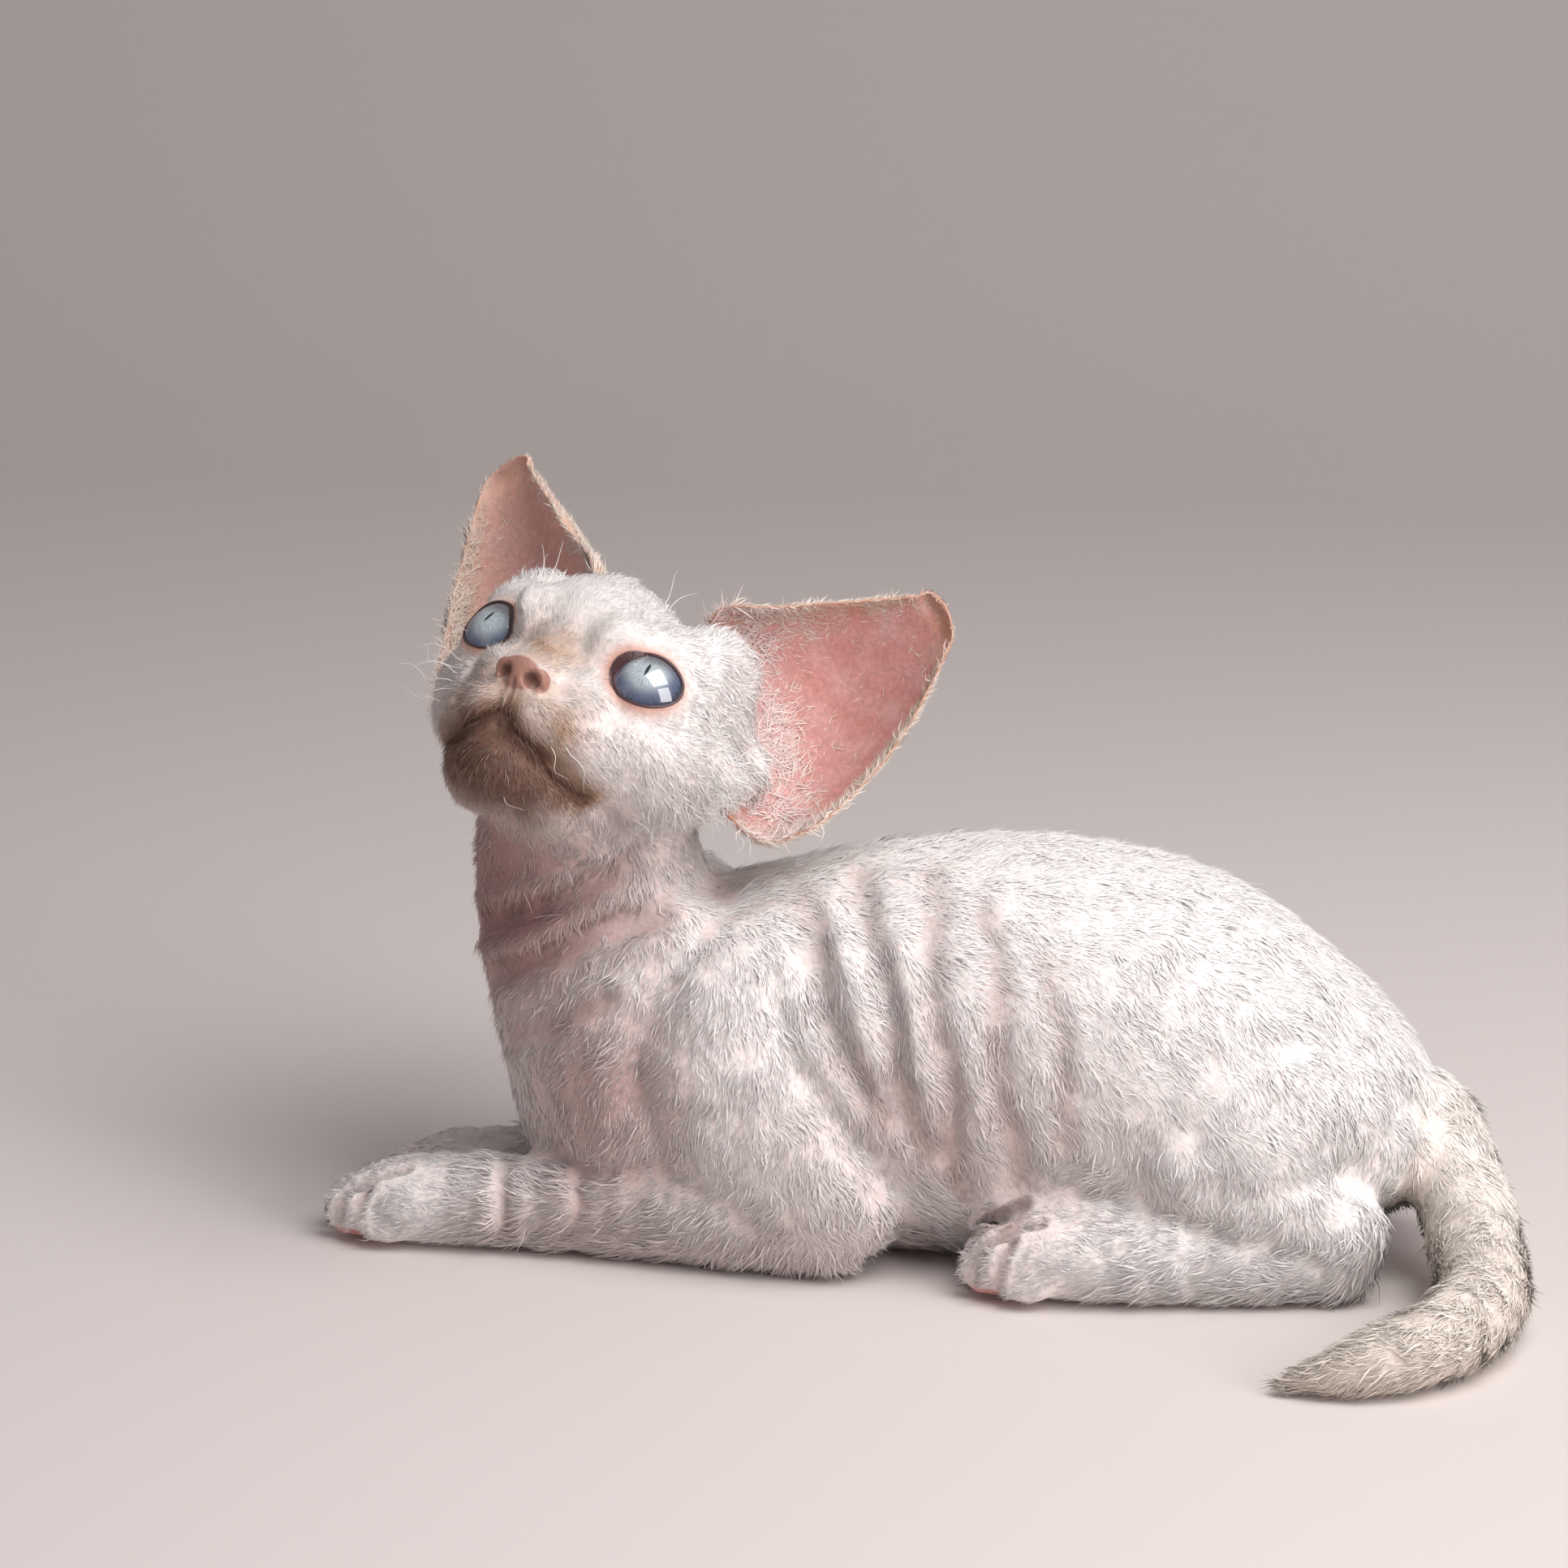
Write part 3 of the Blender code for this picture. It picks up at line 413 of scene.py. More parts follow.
def coordinates(obj):
    """The object's points in design millimetres."""
    return read_rows(obj.data.vertices, "co", 3).astype(float) / MM - SHIFT


def normals(obj):
    return read_rows(obj.data.vertices, "normal", 3).astype(float)


def put_coordinates(obj, co):
    obj.data.vertices.foreach_set("co", ((co + SHIFT) * MM).astype(np.float32).ravel())
    obj.data.update()


def front_limb(stations, side, start, back):
    """A fore limb's stations; the far one's are drawn in and flattened, from the share start upwards."""
    if side == LEFT:
        return stations
    last = len(stations) - 1
    out = []
    for k, (x, y, z, wide, high) in enumerate(stations):
        drawn = max(start, k / last)
        flat = 1 - (1 - FAR_FOREPAW_FLAT) * drawn
        out.append((x + back * k / last, y + FAR_FOREPAW_IN * drawn, z * flat, wide, high * flat))
    return out


def paws():
    """Every paw as (side, x of the middle toes, y of its middle, flattening)."""
    yield LEFT, FOREPAW_TOE, FOREPAW[-1][1], 1.0
    yield RIGHT, FOREPAW_TOE + FAR_FOREPAW_BACK, FOREPAW[-1][1] + FAR_FOREPAW_IN, FAR_FOREPAW_FLAT
    for side in SIDES:
        yield side, HINDPAW_TOE, HINDPAW[-1][1], 1.0


def toes(bm, side, middle, centre_y, flat):
    for along, across, size in TOES:
        wide = [r * size for r in TOE_RADII]
        centre = (middle + along, centre_y + across, TOE_HEIGHT * flat)
        ball(bm, on_side(centre, side), (wide[0], wide[1], wide[2] * flat), segments=18, rings=12)


def flesh():
    """Every form of the body and head as overlapping closed shapes in one mesh."""
    bm = bmesh.new()
    trunk = [(x, 0, (top + low) / 2, wide, (top - low) / 2) for x, top, low, wide in TORSO]
    tube(bm, trunk, Vector((0, 1, 0)), sides=36)
    tube(bm, NECK, Vector((1, 0, 0)), sides=32)
    for side in SIDES:
        fore = [front_limb(FOREARM, side, 0, 0), front_limb(FOREPAW, side, 1, FAR_FOREPAW_BACK)]
        for stations in [BREAST, SHOULDER_BLADE, UPPER_ARM, *fore, THIGH, SHANK, HIND_FOOT, HINDPAW]:
            tube(bm, [(x, y * -side, *rest) for x, y, *rest in stations], Vector((0, 1, 0)), sides=24)
    for paw in paws():
        toes(bm, *paw)
    tube(bm, [(*s, s[3]) for s in TAIL], Vector((0.6, 0.2, 1)), sides=24)
    for centre, radii in SKULL_BALLS:
        ball(bm, centre, radii, HEAD)
    for side in SIDES:
        for centre, radii in SKULL_PAIRS:
            ball(bm, on_side(centre, side), radii, HEAD)
        ball(bm, on_side(EYE_CENTRE, side), [EYE_RADIUS + LID] * 3, HEAD)
    return bm


# Skin.

VOXEL = 0.9
SMOOTH_STEPS = 13
# Middles of the skull and the face, and the ball in which the face is split finely, in the head frame.
SKULL_MIDDLE, FACE_MIDDLE = (-22, 0, -2), (0, 0, -8)
FACE_CENTRE, FACE_RADIUS = (2, 0, -9), 27.0
FACE_STEPS, FINE_STEPS = 14, 2
FINE_SPOTS = [((2.2, 15.5, 0), 10.5), ((9, 3, -13), 8.5), ((4, 9, -23.5), 8.0)]
# Skin lower than the first height is laid flat at the second.
SOLE_FLAT = 0.25, 0.02
# Places on the head that are evened out, as (centre, radius, rounds).
SOFT_SPOTS = [((-25, 27, -9), 16, 260), ((-18, 27, 6), 13, 260), ((2, 9, 5), 8, 40), ((3, 9, -9), 6, 25)]
COAT_DEPTH = 1.0
FOLD_WANDER = 1.2
FACE_DEPTH = 0.45
PAW_DEPTH = 0.6


def base_body():
    """The fused, smoothed body."""
    obj = to_object(flesh(), "skin")
    remesh = obj.modifiers.new("fuse", "REMESH")
    remesh.mode = "VOXEL"
    remesh.voxel_size = VOXEL * MM
    smooth = obj.modifiers.new("soften", "SMOOTH")
    smooth.factor = 0.5
    smooth.iterations = SMOOTH_STEPS
    return applied(obj)


def subdivide_near(obj, spots, smooth_steps):
    """Splits the faces inside the given head-frame balls in four, then smooths them."""
    bm = bmesh.new()
    bm.from_mesh(obj.data)
    co = np.array([v.co for v in bm.verts]) / MM - SHIFT
    local = to_head(co)
    inside = np.zeros(len(co), bool)
    for centre, radius in spots:
        for side in (1, -1):
            inside |= np.linalg.norm(local - np.array(centre) * (1, side, 1), axis=1) < radius
    edges = [e for e in bm.edges if inside[e.verts[0].index] and inside[e.verts[1].index]]
    made = bmesh.ops.subdivide_edges(bm, edges=edges, cuts=1, use_grid_fill=True)
    near = {v for v in made["geom_inner"] if isinstance(v, bmesh.types.BMVert)}
    near = list(near | {v for e in edges if e.is_valid for v in e.verts})
    for _ in range(smooth_steps):
        bmesh.ops.smooth_vert(bm, verts=near, factor=0.5, use_axis_x=True, use_axis_y=True, use_axis_z=True)
    bmesh.ops.triangulate(bm, faces=[f for f in bm.faces if len(f.verts) > 4])
    bm.to_mesh(obj.data)
    bm.free()


def surface_tree(obj):
    return BVHTree.FromObject(obj, bpy.context.evaluated_depsgraph_get())


def on_surface(tree, points):
    """Design points moved to the nearest place on a surface."""
    return np.array([np.array(tree.find_nearest(row(p))[0]) / MM - SHIFT for p in points])


def line_distance(co, line, reach):
    """(index of the points within reach, their distance to a polyline, place along it from 0 to 1)."""
    low, high = line.min(0) - reach, line.max(0) + reach
    near = np.flatnonzero(((co > low) & (co < high)).all(1))
    best = np.full(len(near), 1e9)
    place = np.zeros(len(near))
    spans = np.linalg.norm(np.diff(line, axis=0), axis=1)
    total = np.concatenate([[0], np.cumsum(spans)])
    for k in range(len(line) - 1):
        a, b = line[k], line[k + 1]
        t = np.clip(((co[near] - a) @ (b - a)) / max(1e-9, spans[k] ** 2), 0, 1)
        away = np.linalg.norm(co[near] - a - t[:, None] * (b - a), axis=1)
        closer = away < best
        best[closer] = away[closer]
        place[closer] = (total[k] + t[closer] * spans[k]) / total[-1]
    keep = best < reach
    return near[keep], best[keep], place[keep]


def press_line(co, normal, line, depth, half, ridge=0.4):
    """Presses a groove with a low ridge on each side; it fades at both ends."""
    near, away, place = line_distance(co, line, 3.2 * half)
    d = away / half
    fade = np.sin(np.pi * np.clip(place * 0.86 + 0.07, 0, 1)) ** 0.5
    move = fade * depth * (ridge * np.exp(-((d - 1.7) ** 2) / 0.5) - np.exp(-(d**2)))
    co[near] += normal[near] * move[:, None]


def fold_lines():
    """Every fold and toe crease as (points, depth, half width)."""
    for points, depth, half in FOLDS:
        for side in SIDES:
            yield [on_side(p, side) for p in points], depth, half
    for side, middle, centre_y, flat in paws():
        top = 2.1 * TOE_HEIGHT * flat
        for across in TOE_CREASES:
            front = middle - TOE_RADII[0] + 0.12 * across**2
            places = [(front + x, centre_y + across, z * top) for x, z in TOE_CREASE_RISE]
            yield [on_side(p, side) for p in places], *TOE_CREASE
        for out in (-1, 1):
            places = [(middle + x, centre_y + out * y, z * top / 1.2) for x, y, z in SIDE_CREASE_RISE]
            yield [on_side(p, side) for p in places], *SIDE_CREASE


def coat_depth(co):
    """How far the skin lies below the outside of the coat."""
    face = ramp(to_head(co)[:, 0], -22, -4) * ramp(-distance(co, head_point(FACE_MIDDLE)), -40, -30)
    paw = np.zeros(len(co))
    for side, middle, centre_y, _ in paws():
        paw = np.maximum(paw, ramp(-distance(co, on_side((middle + 6, centre_y, 6), side)), -22, -12))
    return COAT_DEPTH + (FACE_DEPTH - COAT_DEPTH) * face + (PAW_DEPTH - COAT_DEPTH) * paw


def ripples(co):
    """Low waves of the coat and its skin, in millimetres; none on the face and paws."""
    calm = np.clip((coat_depth(co) - FACE_DEPTH) / (COAT_DEPTH - FACE_DEPTH), 0, 1)
    stretched = co * (1.0, 1.0, 0.55)
    return calm * (waves(stretched, *FINE_RIPPLE) + waves(stretched, *BROAD_RIPPLE))


def gaze(side):
    """The frame of one eye in design millimetres: its X looks out of the eye."""
    outwards = math.radians(EYE_TURN) * -side
    turn = Matrix.Rotation(outwards, 4, "Z") @ Matrix.Rotation(-math.radians(EYE_LIFT), 4, "Y")
    slant = Matrix.Rotation(math.radians(EYE_SLANT) * -side, 4, "X")
    return HEAD @ Matrix.Translation(on_side(EYE_CENTRE, side)) @ turn @ slant


def almond(y, z):
    """Signed distance, about in millimetres, to the lids' edge: negative inside the opening."""
    wide, high = EYE_OPENING[0] / 2, EYE_OPENING[1] / 2
    angle = np.arctan2(z / high, y / wide)
    pointed = 1 - 0.06 * np.abs(np.cos(angle)) ** 3
    reach = np.hypot(wide * np.cos(angle), high * np.sin(angle) * pointed)
    return np.hypot(y, z) - reach


# Points nearer to the lids' edge than LID_SNAP go onto it. LID_EDGE is the edge's height over the eyeball,
# LID_SLOPE the strip in which the lid rises, LID_CREASE the crease's depth and distance from the edge.
LID_SNAP, LID_EDGE, LID_SLOPE, LID_CREASE = 0.16, 0.3, (0.2, 4.5), (0.35, 2.4)
SOCKET_DEPTH = 1.6


def open_lids(co, side):
    """Sinks the skin behind the eyeball inside the lids' opening and lays the lids over the ball."""
    frame_array = np.array(gaze(side))
    local = (co - frame_array[:3, 3]) @ frame_array[:3, :3]
    r = np.linalg.norm(local, axis=1)
    off_axis = np.hypot(local[:, 1], local[:, 2])
    near = np.flatnonzero((local[:, 0] > 1.5) & (r < EYE_RADIUS + 6) & (off_axis < 12))
    p = local[near]
    s = almond(p[:, 1], p[:, 2])
    # The lids get a clean line.
    snap = np.abs(s) < LID_SNAP
    flat = np.hypot(p[:, 1], p[:, 2])
    pull = np.where(snap, -s / np.maximum(flat, 1e-6), 0)
    p[:, 1:] *= (1 + pull)[:, None]
    s = almond(p[:, 1], p[:, 2])
    lid_edge = EYE_RADIUS + LID_EDGE
    radius = np.linalg.norm(p, axis=1)
    # The lids rise from a thin edge to the skin round them, with a shallow crease over the upper one.
    lid = lid_edge + (np.maximum(radius, lid_edge) - lid_edge) * ramp(s, *LID_SLOPE)
    lid -= LID_CREASE[0] * np.exp(-((s - LID_CREASE[1]) ** 2) / 0.5) * ramp(p[:, 2], 0, 3)
    socket = EYE_RADIUS - SOCKET_DEPTH
    inwards = lid_edge + (socket - lid_edge) * np.clip((0.05 - s) / 0.35, 0, 1)
    radius_new = np.where(s > 0.05, lid, np.where(s > -0.3, inwards, socket))
    local[near] = p * (radius_new / radius)[:, None]
    co[near] = local[near] @ frame_array[:3, :3].T + frame_array[:3, 3]


def settled_line(tree, points, steps=6, rounds=4, wander=0.0):
    """A smooth line on the surface near the given points."""
    line = smooth_rows([tuple(p) for p in points], steps)
    line[:, 0] += wander * np.sin(line[:, 2] / 5.3 + line[0, 0] * 0.7)
    for _ in range(rounds):
        line = on_surface(tree, line)
        line[1:-1] = (line[:-2] + 2 * line[1:-1] + line[2:]) / 4
    return line


def soften(co, edges, centre, radius, rounds):
    """Evens out the surface inside a ball, most at its middle."""
    share = 0.5 * (1 - ramp(distance(co, centre), 0.5 * radius, radius))
    used = edges[(share[edges] > 0).any(1)]
    ends, others = used.ravel(), used[:, ::-1].ravel()
    count = np.maximum(np.bincount(ends, minlength=len(co)), 1)
    for _ in range(rounds):
        total = np.stack([np.bincount(ends, co[others, k], minlength=len(co)) for k in range(3)], 1)
        co += (total / count[:, None] - co) * share[:, None]


def shape_face(co, normal, tree):
    """The mouth, philtrum, nostrils and the edge of the nose leather."""
    mouth = [head_point(p, RIGHT) for p in reversed(MOUTH[1:])] + [head_point(p) for p in MOUTH]
    mouth_line = settled_line(tree, mouth, rounds=8)
    press_line(co, normal, mouth_line, 1.5, 0.5, ridge=0.1)
    press_line(co, normal, settled_line(tree, [head_point(p) for p in PHILTRUM]), 0.9, 0.5, ridge=0.2)
    mirrored = mirrored_head(co)
    # Nostrils: a round hole with a slit that runs outwards and back.
    hole = np.linalg.norm((mirrored - np.array(NOSTRIL)) / NOSTRIL_RADII, axis=1)
    near, away, _ = line_distance(mirrored, np.array(NOSTRIL_SLIT), 2.2)
    co -= HEAD_ARRAY[:3, 0] * (2.6 * np.exp(-(hole**3)))[:, None]
    co[near] -= normal[near] * (1.1 * np.exp(-((away / 0.6) ** 2)))[:, None]
    co += normal * (1.0 * blob(mirrored, (10.8, 5.0, -10.4), (2.2, 1.6, 2.0)))[:, None]
    return mouth_line


# Points across the ear's sheet, rows between its stations, and its last rows as shares of the way to the tip.
EAR_COLUMNS, EAR_STEPS, EAR_TIP_SHARES = 25, 6, (0.35, 0.6, 0.8, 0.93)


def ear_sheet(side):
    """The middle sheet of an ear as rows of points, from its foot to its tip, in design millimetres."""
    across, steps = EAR_COLUMNS, EAR_STEPS
    medial, lateral, depth = (smooth_rows([np.atleast_1d(row[k]) for row in EAR], steps) for k in range(3))
    tip = np.array(EAR_TIP, float)
    axis = unit(tip - (np.array(EAR[1][0]) + np.array(EAR[1][1])) / 2)
    turn = (math.pi * np.arange(across) / (across - 1))[:, None]
    rows = []
    for i, (m, w, d) in enumerate(zip(medial, lateral, depth)):
        back = unit(np.cross(w - m, axis))
        back *= -1 if back[0] > 0 else 1
        # The back bulges, with a low ripple that drifts towards the tip.
        ripple = 0.35 * np.sin(4 * turn + 5 * i / (len(medial) - 1)) * np.sin(turn) ** 2
        bulge = d * np.abs(np.sin(turn)) ** 0.8 + ripple
        rows.append((m + w) / 2 + (m - w) / 2 * np.cos(turn) + back * bulge)
    # The tip closes in a half round.
    end, middle = rows[-1], (medial[-1] + lateral[-1]) / 2
    for share in EAR_TIP_SHARES:
        rows.append(middle + (tip - middle) * share + (end - middle) * math.sqrt(1 - share**2))
    rows.append(np.tile(tip, (across, 1)))
    return np.array([[np.array(head_point(p, side)) for p in line] for line in rows])


EAR_THICK, EAR_RIM = 1.3, 0.7


def make_ear(side):
    """A closed ear: the middle sheet given a thickness that thins to a round rim."""
    grid = ear_sheet(side)
    normal = unit(np.cross(np.gradient(grid, axis=0), np.gradient(grid, axis=1)))
    normal[-1] = unit(normal[-2].mean(0))
    count, across = grid.shape[:2]
    k = np.arange(across)
    edge = np.minimum(k, across - 1 - k) / (across / 2)
    thick = EAR_RIM + (EAR_THICK - EAR_RIM) * ramp(edge, 0, 0.5)
    taper = 1 - 0.35 * np.linspace(0, 1, count)[:, None]
    half = (thick[None, :] * taper / 2)[..., None]
    front, back = grid + normal * half, grid - normal * half
    bm = bmesh.new()
    sheets = []
    for sheet in (front, back):
        made = [[bm.verts.new(p) for p in line] for line in sheet[:-1]]
        top = bm.verts.new(sheet[-1].mean(0))
        sheets.append((made, top))
    for (made, top), flip in zip(sheets, (False, True)):
        for one, two in zip(made, made[1:]):
            for j in range(across - 1):
                quad = (one[j], one[j + 1], two[j + 1], two[j])
                bm.faces.new(quad[::-1] if flip else quad)
        for j in range(across - 1):
            tri = (made[-1][j], made[-1][j + 1], top)
            bm.faces.new(tri[::-1] if flip else tri)
    (a, a_top), (b, b_top) = sheets
    rim_a = [line[0] for line in a] + [a_top] + [line[-1] for line in reversed(a)]
    rim_b = [line[0] for line in b] + [b_top] + [line[-1] for line in reversed(b)]
    rim_mid = []
    for p, q, i in zip(rim_a, rim_b, range(len(rim_a))):
        before = (rim_a[max(i - 1, 0)].co + rim_b[max(i - 1, 0)].co) / 2
        after = (rim_a[min(i + 1, len(rim_a) - 1)].co + rim_b[min(i + 1, len(rim_a) - 1)].co) / 2
        out = (p.co - q.co).cross(after - before).normalized()
        middle = (p.co + q.co) / 2
        inside = Vector(grid[min(i, count - 2) if i < count else max(0, 2 * count - 2 - i)][across // 2])
        if out.dot(middle - inside) < 0:
            out = -out
        rim_mid.append(bm.verts.new(middle + out * (p.co - q.co).length * 0.5))
    for i in range(len(rim_a) - 1):
        bm.faces.new((rim_a[i], rim_mid[i], rim_mid[i + 1], rim_a[i + 1]))
        bm.faces.new((rim_mid[i], rim_b[i], rim_b[i + 1], rim_mid[i + 1]))
    for j in range(across - 1):
        bm.faces.new((a[0][j], b[0][j], b[0][j + 1], a[0][j + 1]))
    bm.faces.new((a[0][0], rim_mid[0], b[0][0]))
    bm.faces.new((a[0][-1], b[0][-1], rim_mid[-1]))
    bmesh.ops.triangulate(bm, faces=bm.faces)
    return to_object(bm, "ear")


def make_skin():
    """The skin, the lines of its folds as (points, half width), and the mouth's line."""
    skin = base_body()
    subdivide_near(skin, [(FACE_CENTRE, FACE_RADIUS)], FACE_STEPS)
    subdivide_near(skin, FINE_SPOTS, FINE_STEPS)
    co = coordinates(skin)
    edges = read_rows(skin.data.edges, "vertices", 2, np.int32)
    for side in SIDES:
        for spot, radius, rounds in SOFT_SPOTS:
            soften(co, edges, head_point(spot, side), radius, rounds)
    put_coordinates(skin, co)
    normal = normals(skin)
    tree = surface_tree(skin)
    lines = [(settled_line(tree, points, wander=FOLD_WANDER), d, h) for points, d, h in fold_lines()]
    for line, depth, half in lines:
        press_line(co, normal, line, depth, half)
    co -= normal * (coat_depth(co) + ripples(co))[:, None]
    mouth_line = shape_face(co, normal, tree)
    for side in SIDES:
        open_lids(co, side)
    co[co[:, 2] < SOLE_FLAT[0], 2] = SOLE_FLAT[1]
    put_coordinates(skin, co)
    for side in SIDES:
        boolean(skin, "UNION", make_ear(side))
    skin.data.shade_smooth()
    skin.name = "skin"
    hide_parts(*[name for name in frame["nodes"] if not name.startswith("eye")])
    filed(skin)
    return skin, [(line, half) for line, _, half in lines], mouth_line


TAIL_LINE = smooth_rows(TAIL, 6)


# What each place on the skin is.


# Distances from the middle sheet within which a point is wholly, and partly, on the ear.
EAR_REACH = 1.2, 2.2


class EarMap:
    """Finds, for points near the ears, the place on the ear's middle sheet and its inner side."""

    def __init__(self):
        points, quads, self.boxes = [], [], []
        place, inward, along = [], [], []
        for side in SIDES:
            grid = ear_sheet(side)
            count, across = grid.shape[:2]
            i, j = np.mgrid[0 : count - 1, 0 : across - 1]
            a = len(points) + i * across + j
            quads += np.stack([a, a + 1, a + across + 1, a + across], -1).reshape(-1, 4).tolist()
            points += grid.reshape(-1, 3).tolist()
            self.step = np.array((1 / (across - 1), 1 / (count - 1)))
            place.append(np.stack([j, i], -1) * self.step)
            up, over = grid[1:, :-1] - grid[:-1, :-1], grid[:-1, 1:] - grid[:-1, :-1]
            normal = unit(np.cross(up, over))
            # The inner side is the one that looks at the middle of the chord between the rims.
            middle = across // 2
            to_chord = (grid[:-1, 0] + grid[:-1, -1]) / 2 - grid[:-1, middle]
            inner = np.sign((normal[:, middle] * to_chord).sum(1))
            inward.append(normal * inner[:, None, None])
            along.append(unit(up))
            self.boxes.append((grid.min((0, 1)) - 2, grid.max((0, 1)) + 2))
        self.tree = BVHTree.FromPolygons(points, quads)
        self.points, self.quads = np.array(points), np.array(quads)
        self.place = np.concatenate(place).reshape(-1, 2)
        self.inward, self.along = np.concatenate(inward).reshape(-1, 3), np.concatenate(along).reshape(-1, 3)

    def read(self, co, normal):
        """(on the ear, on its inside, share across from its upper edge, share along, way to the tip)."""
        ear, inside, across, height = np.zeros((4, len(co)))
        along = np.tile(np.array([0.0, 0, 1]), (len(co), 1))
        near = np.zeros(len(co), bool)
        for low, high in self.boxes:
            near |= ((co > low) & (co < high)).all(1)
        near = np.flatnonzero(near)
        hits = [self.tree.find_nearest(Vector(p)) for p in co[near]]
        away = np.array([hit[3] for hit in hits])
        keep = away <= EAR_REACH[1]
        spot, face = np.array([tuple(hit[0]) for hit in hits])[keep], np.array([hit[2] for hit in hits])[keep]
        near, away = near[keep], away[keep]
        a, b, _, d = self.points[self.quads[face]].transpose(1, 0, 2)
        ear[near] = 1 - ramp(away, *EAR_REACH)
        inside[near] = ear[near] * ((normal[near] * self.inward[face]).sum(1) > 0)
        for out, end, k in ((across, b, 0), (height, d, 1)):
            share = ((spot - a) * (end - a)).sum(1) / ((end - a) ** 2).sum(1)
            out[near] = self.place[face, k] + self.step[k] * np.clip(share, 0, 1)
        along[near] = self.along[face]
        return ear, inside, across, height, along


# Points read at one time.
FLOW_BLOCK = 40000


class Flow:
    """The lie of the coat: directions given at named places and read between them."""

    def __init__(self):
        places, ways = [], []
        for side in SIDES:
            for point, way in BODY_FLOW:
                places.append(on_side(point, side))
                ways.append(on_side(way, side))
            for point, way in HEAD_FLOW:
                here = head_point(point, side)
                places.append(here)
                ways.append(head_point(np.array(point) + np.array(way), side) - here)
        for a, b in zip(TAIL_LINE[:-3:3], TAIL_LINE[3::3]):
            for turn in np.arange(6) * math.pi / 3:
                places.append(a[:3] + a[3] * np.array([math.cos(turn), math.sin(turn), 0.3]))
                ways.append(b[:3] - a[:3])
        self.places = np.array([tuple(p) for p in places])
        self.ways = unit(np.array([tuple(w) for w in ways]))

    def read(self, co, normal):
        out = np.empty_like(co)
        squares = (self.places**2).sum(1)
        for start in range(0, len(co), FLOW_BLOCK):
            part = co[start : start + FLOW_BLOCK]
            away = (part**2).sum(1)[:, None] + squares[None] - 2 * part @ self.places.T
            out[start : start + FLOW_BLOCK] = (1 / (np.maximum(away, 0) + 9) ** 2) @ self.ways
        out -= normal * (out * normal).sum(1)[:, None]
        return unit(out)


# Lie of the coat on the left side of the body, as (place, direction).
BODY_FLOW = [
    ((-22, 0, 72), (0.9, -0.2, -0.3)), ((0, 0, 74), (1, 0, 0)), ((30, 0, 79), (1, 0, 0)),
    ((60, 0, 78), (1, 0, -0.1)), ((90, 0, 65), (0.9, 0, -0.5)), ((112, 0, 46), (0.75, 0, -0.65)),
    ((0, -20, 70), (0.9, -0.1, -0.35)), ((30, -22, 74), (0.95, -0.1, -0.3)),
    ((60, -22, 74), (0.95, -0.1, -0.3)), ((90, -20, 60), (0.85, -0.1, -0.6)),
    ((-36, -20, 78), (-0.1, -0.2, -0.95)), ((-45, -22, 66), (-0.35, -0.1, -0.9)),
    ((-56, -14, 56), (-0.3, 0, -0.95)), ((-58, 0, 60), (0, 0, -1)), ((-56, 0, 40), (0.1, 0, -1)),
    ((-52, -12, 30), (0.1, -0.2, -0.95)), ((-30, -27, 50), (-0.45, -0.2, -0.85)),
    ((-32, -28, 32), (-0.4, -0.1, -0.9)), ((-16, -33, 50), (-0.25, -0.2, -0.95)),
    ((-8, -36, 35), (-0.05, -0.1, -1)), ((0, -30, 60), (0.35, -0.3, -0.85)),
    ((6, -37, 28), (0.35, 0, -0.95)), ((14, -36, 15), (0.5, 0, -0.8)), ((0, -36, 12), (-0.6, 0, -0.5)),
    ((-20, -31, 12), (-0.9, 0, -0.25)), ((-40, -28, 11), (-0.95, 0, -0.15)), ((-60, -26, 10), (-1, 0, 0)),
    ((-60, -16, 19), (-1, 0, 0)), ((-80, -16, 12), (-1, 0, -0.3)), ((20, -33, 50), (0.5, -0.1, -0.85)),
    ((32, -37, 30), (0.45, 0, -0.9)), ((45, -38, 55), (0.6, -0.1, -0.8)), ((50, -39, 25), (0.5, 0, -0.85)),
    ((62, -38, 45), (0.65, 0, -0.75)), ((78, -37, 50), (0.7, 0, -0.7)), ((78, -42, 30), (0.35, 0, -0.95)),
    ((88, -42, 35), (0.5, -0.1, -0.85)), ((100, -36, 40), (0.65, 0, -0.75)),
    ((105, -38, 22), (0.4, 0, -0.9)), ((114, -24, 30), (0.5, -0.1, -0.85)),
    ((114, -38, 10), (-0.5, 0, -0.6)), ((100, -42, 9), (-1, 0, 0)), ((80, -43, 10), (-1, 0, 0)),
    ((60, -44, 10), (-1, 0, 0)), ((60, -33, 20), (-1, 0, 0)), ((46, -38, 9), (-1, 0, -0.1)),
    ((30, -30, 6), (0.9, 0, -0.3)),
]
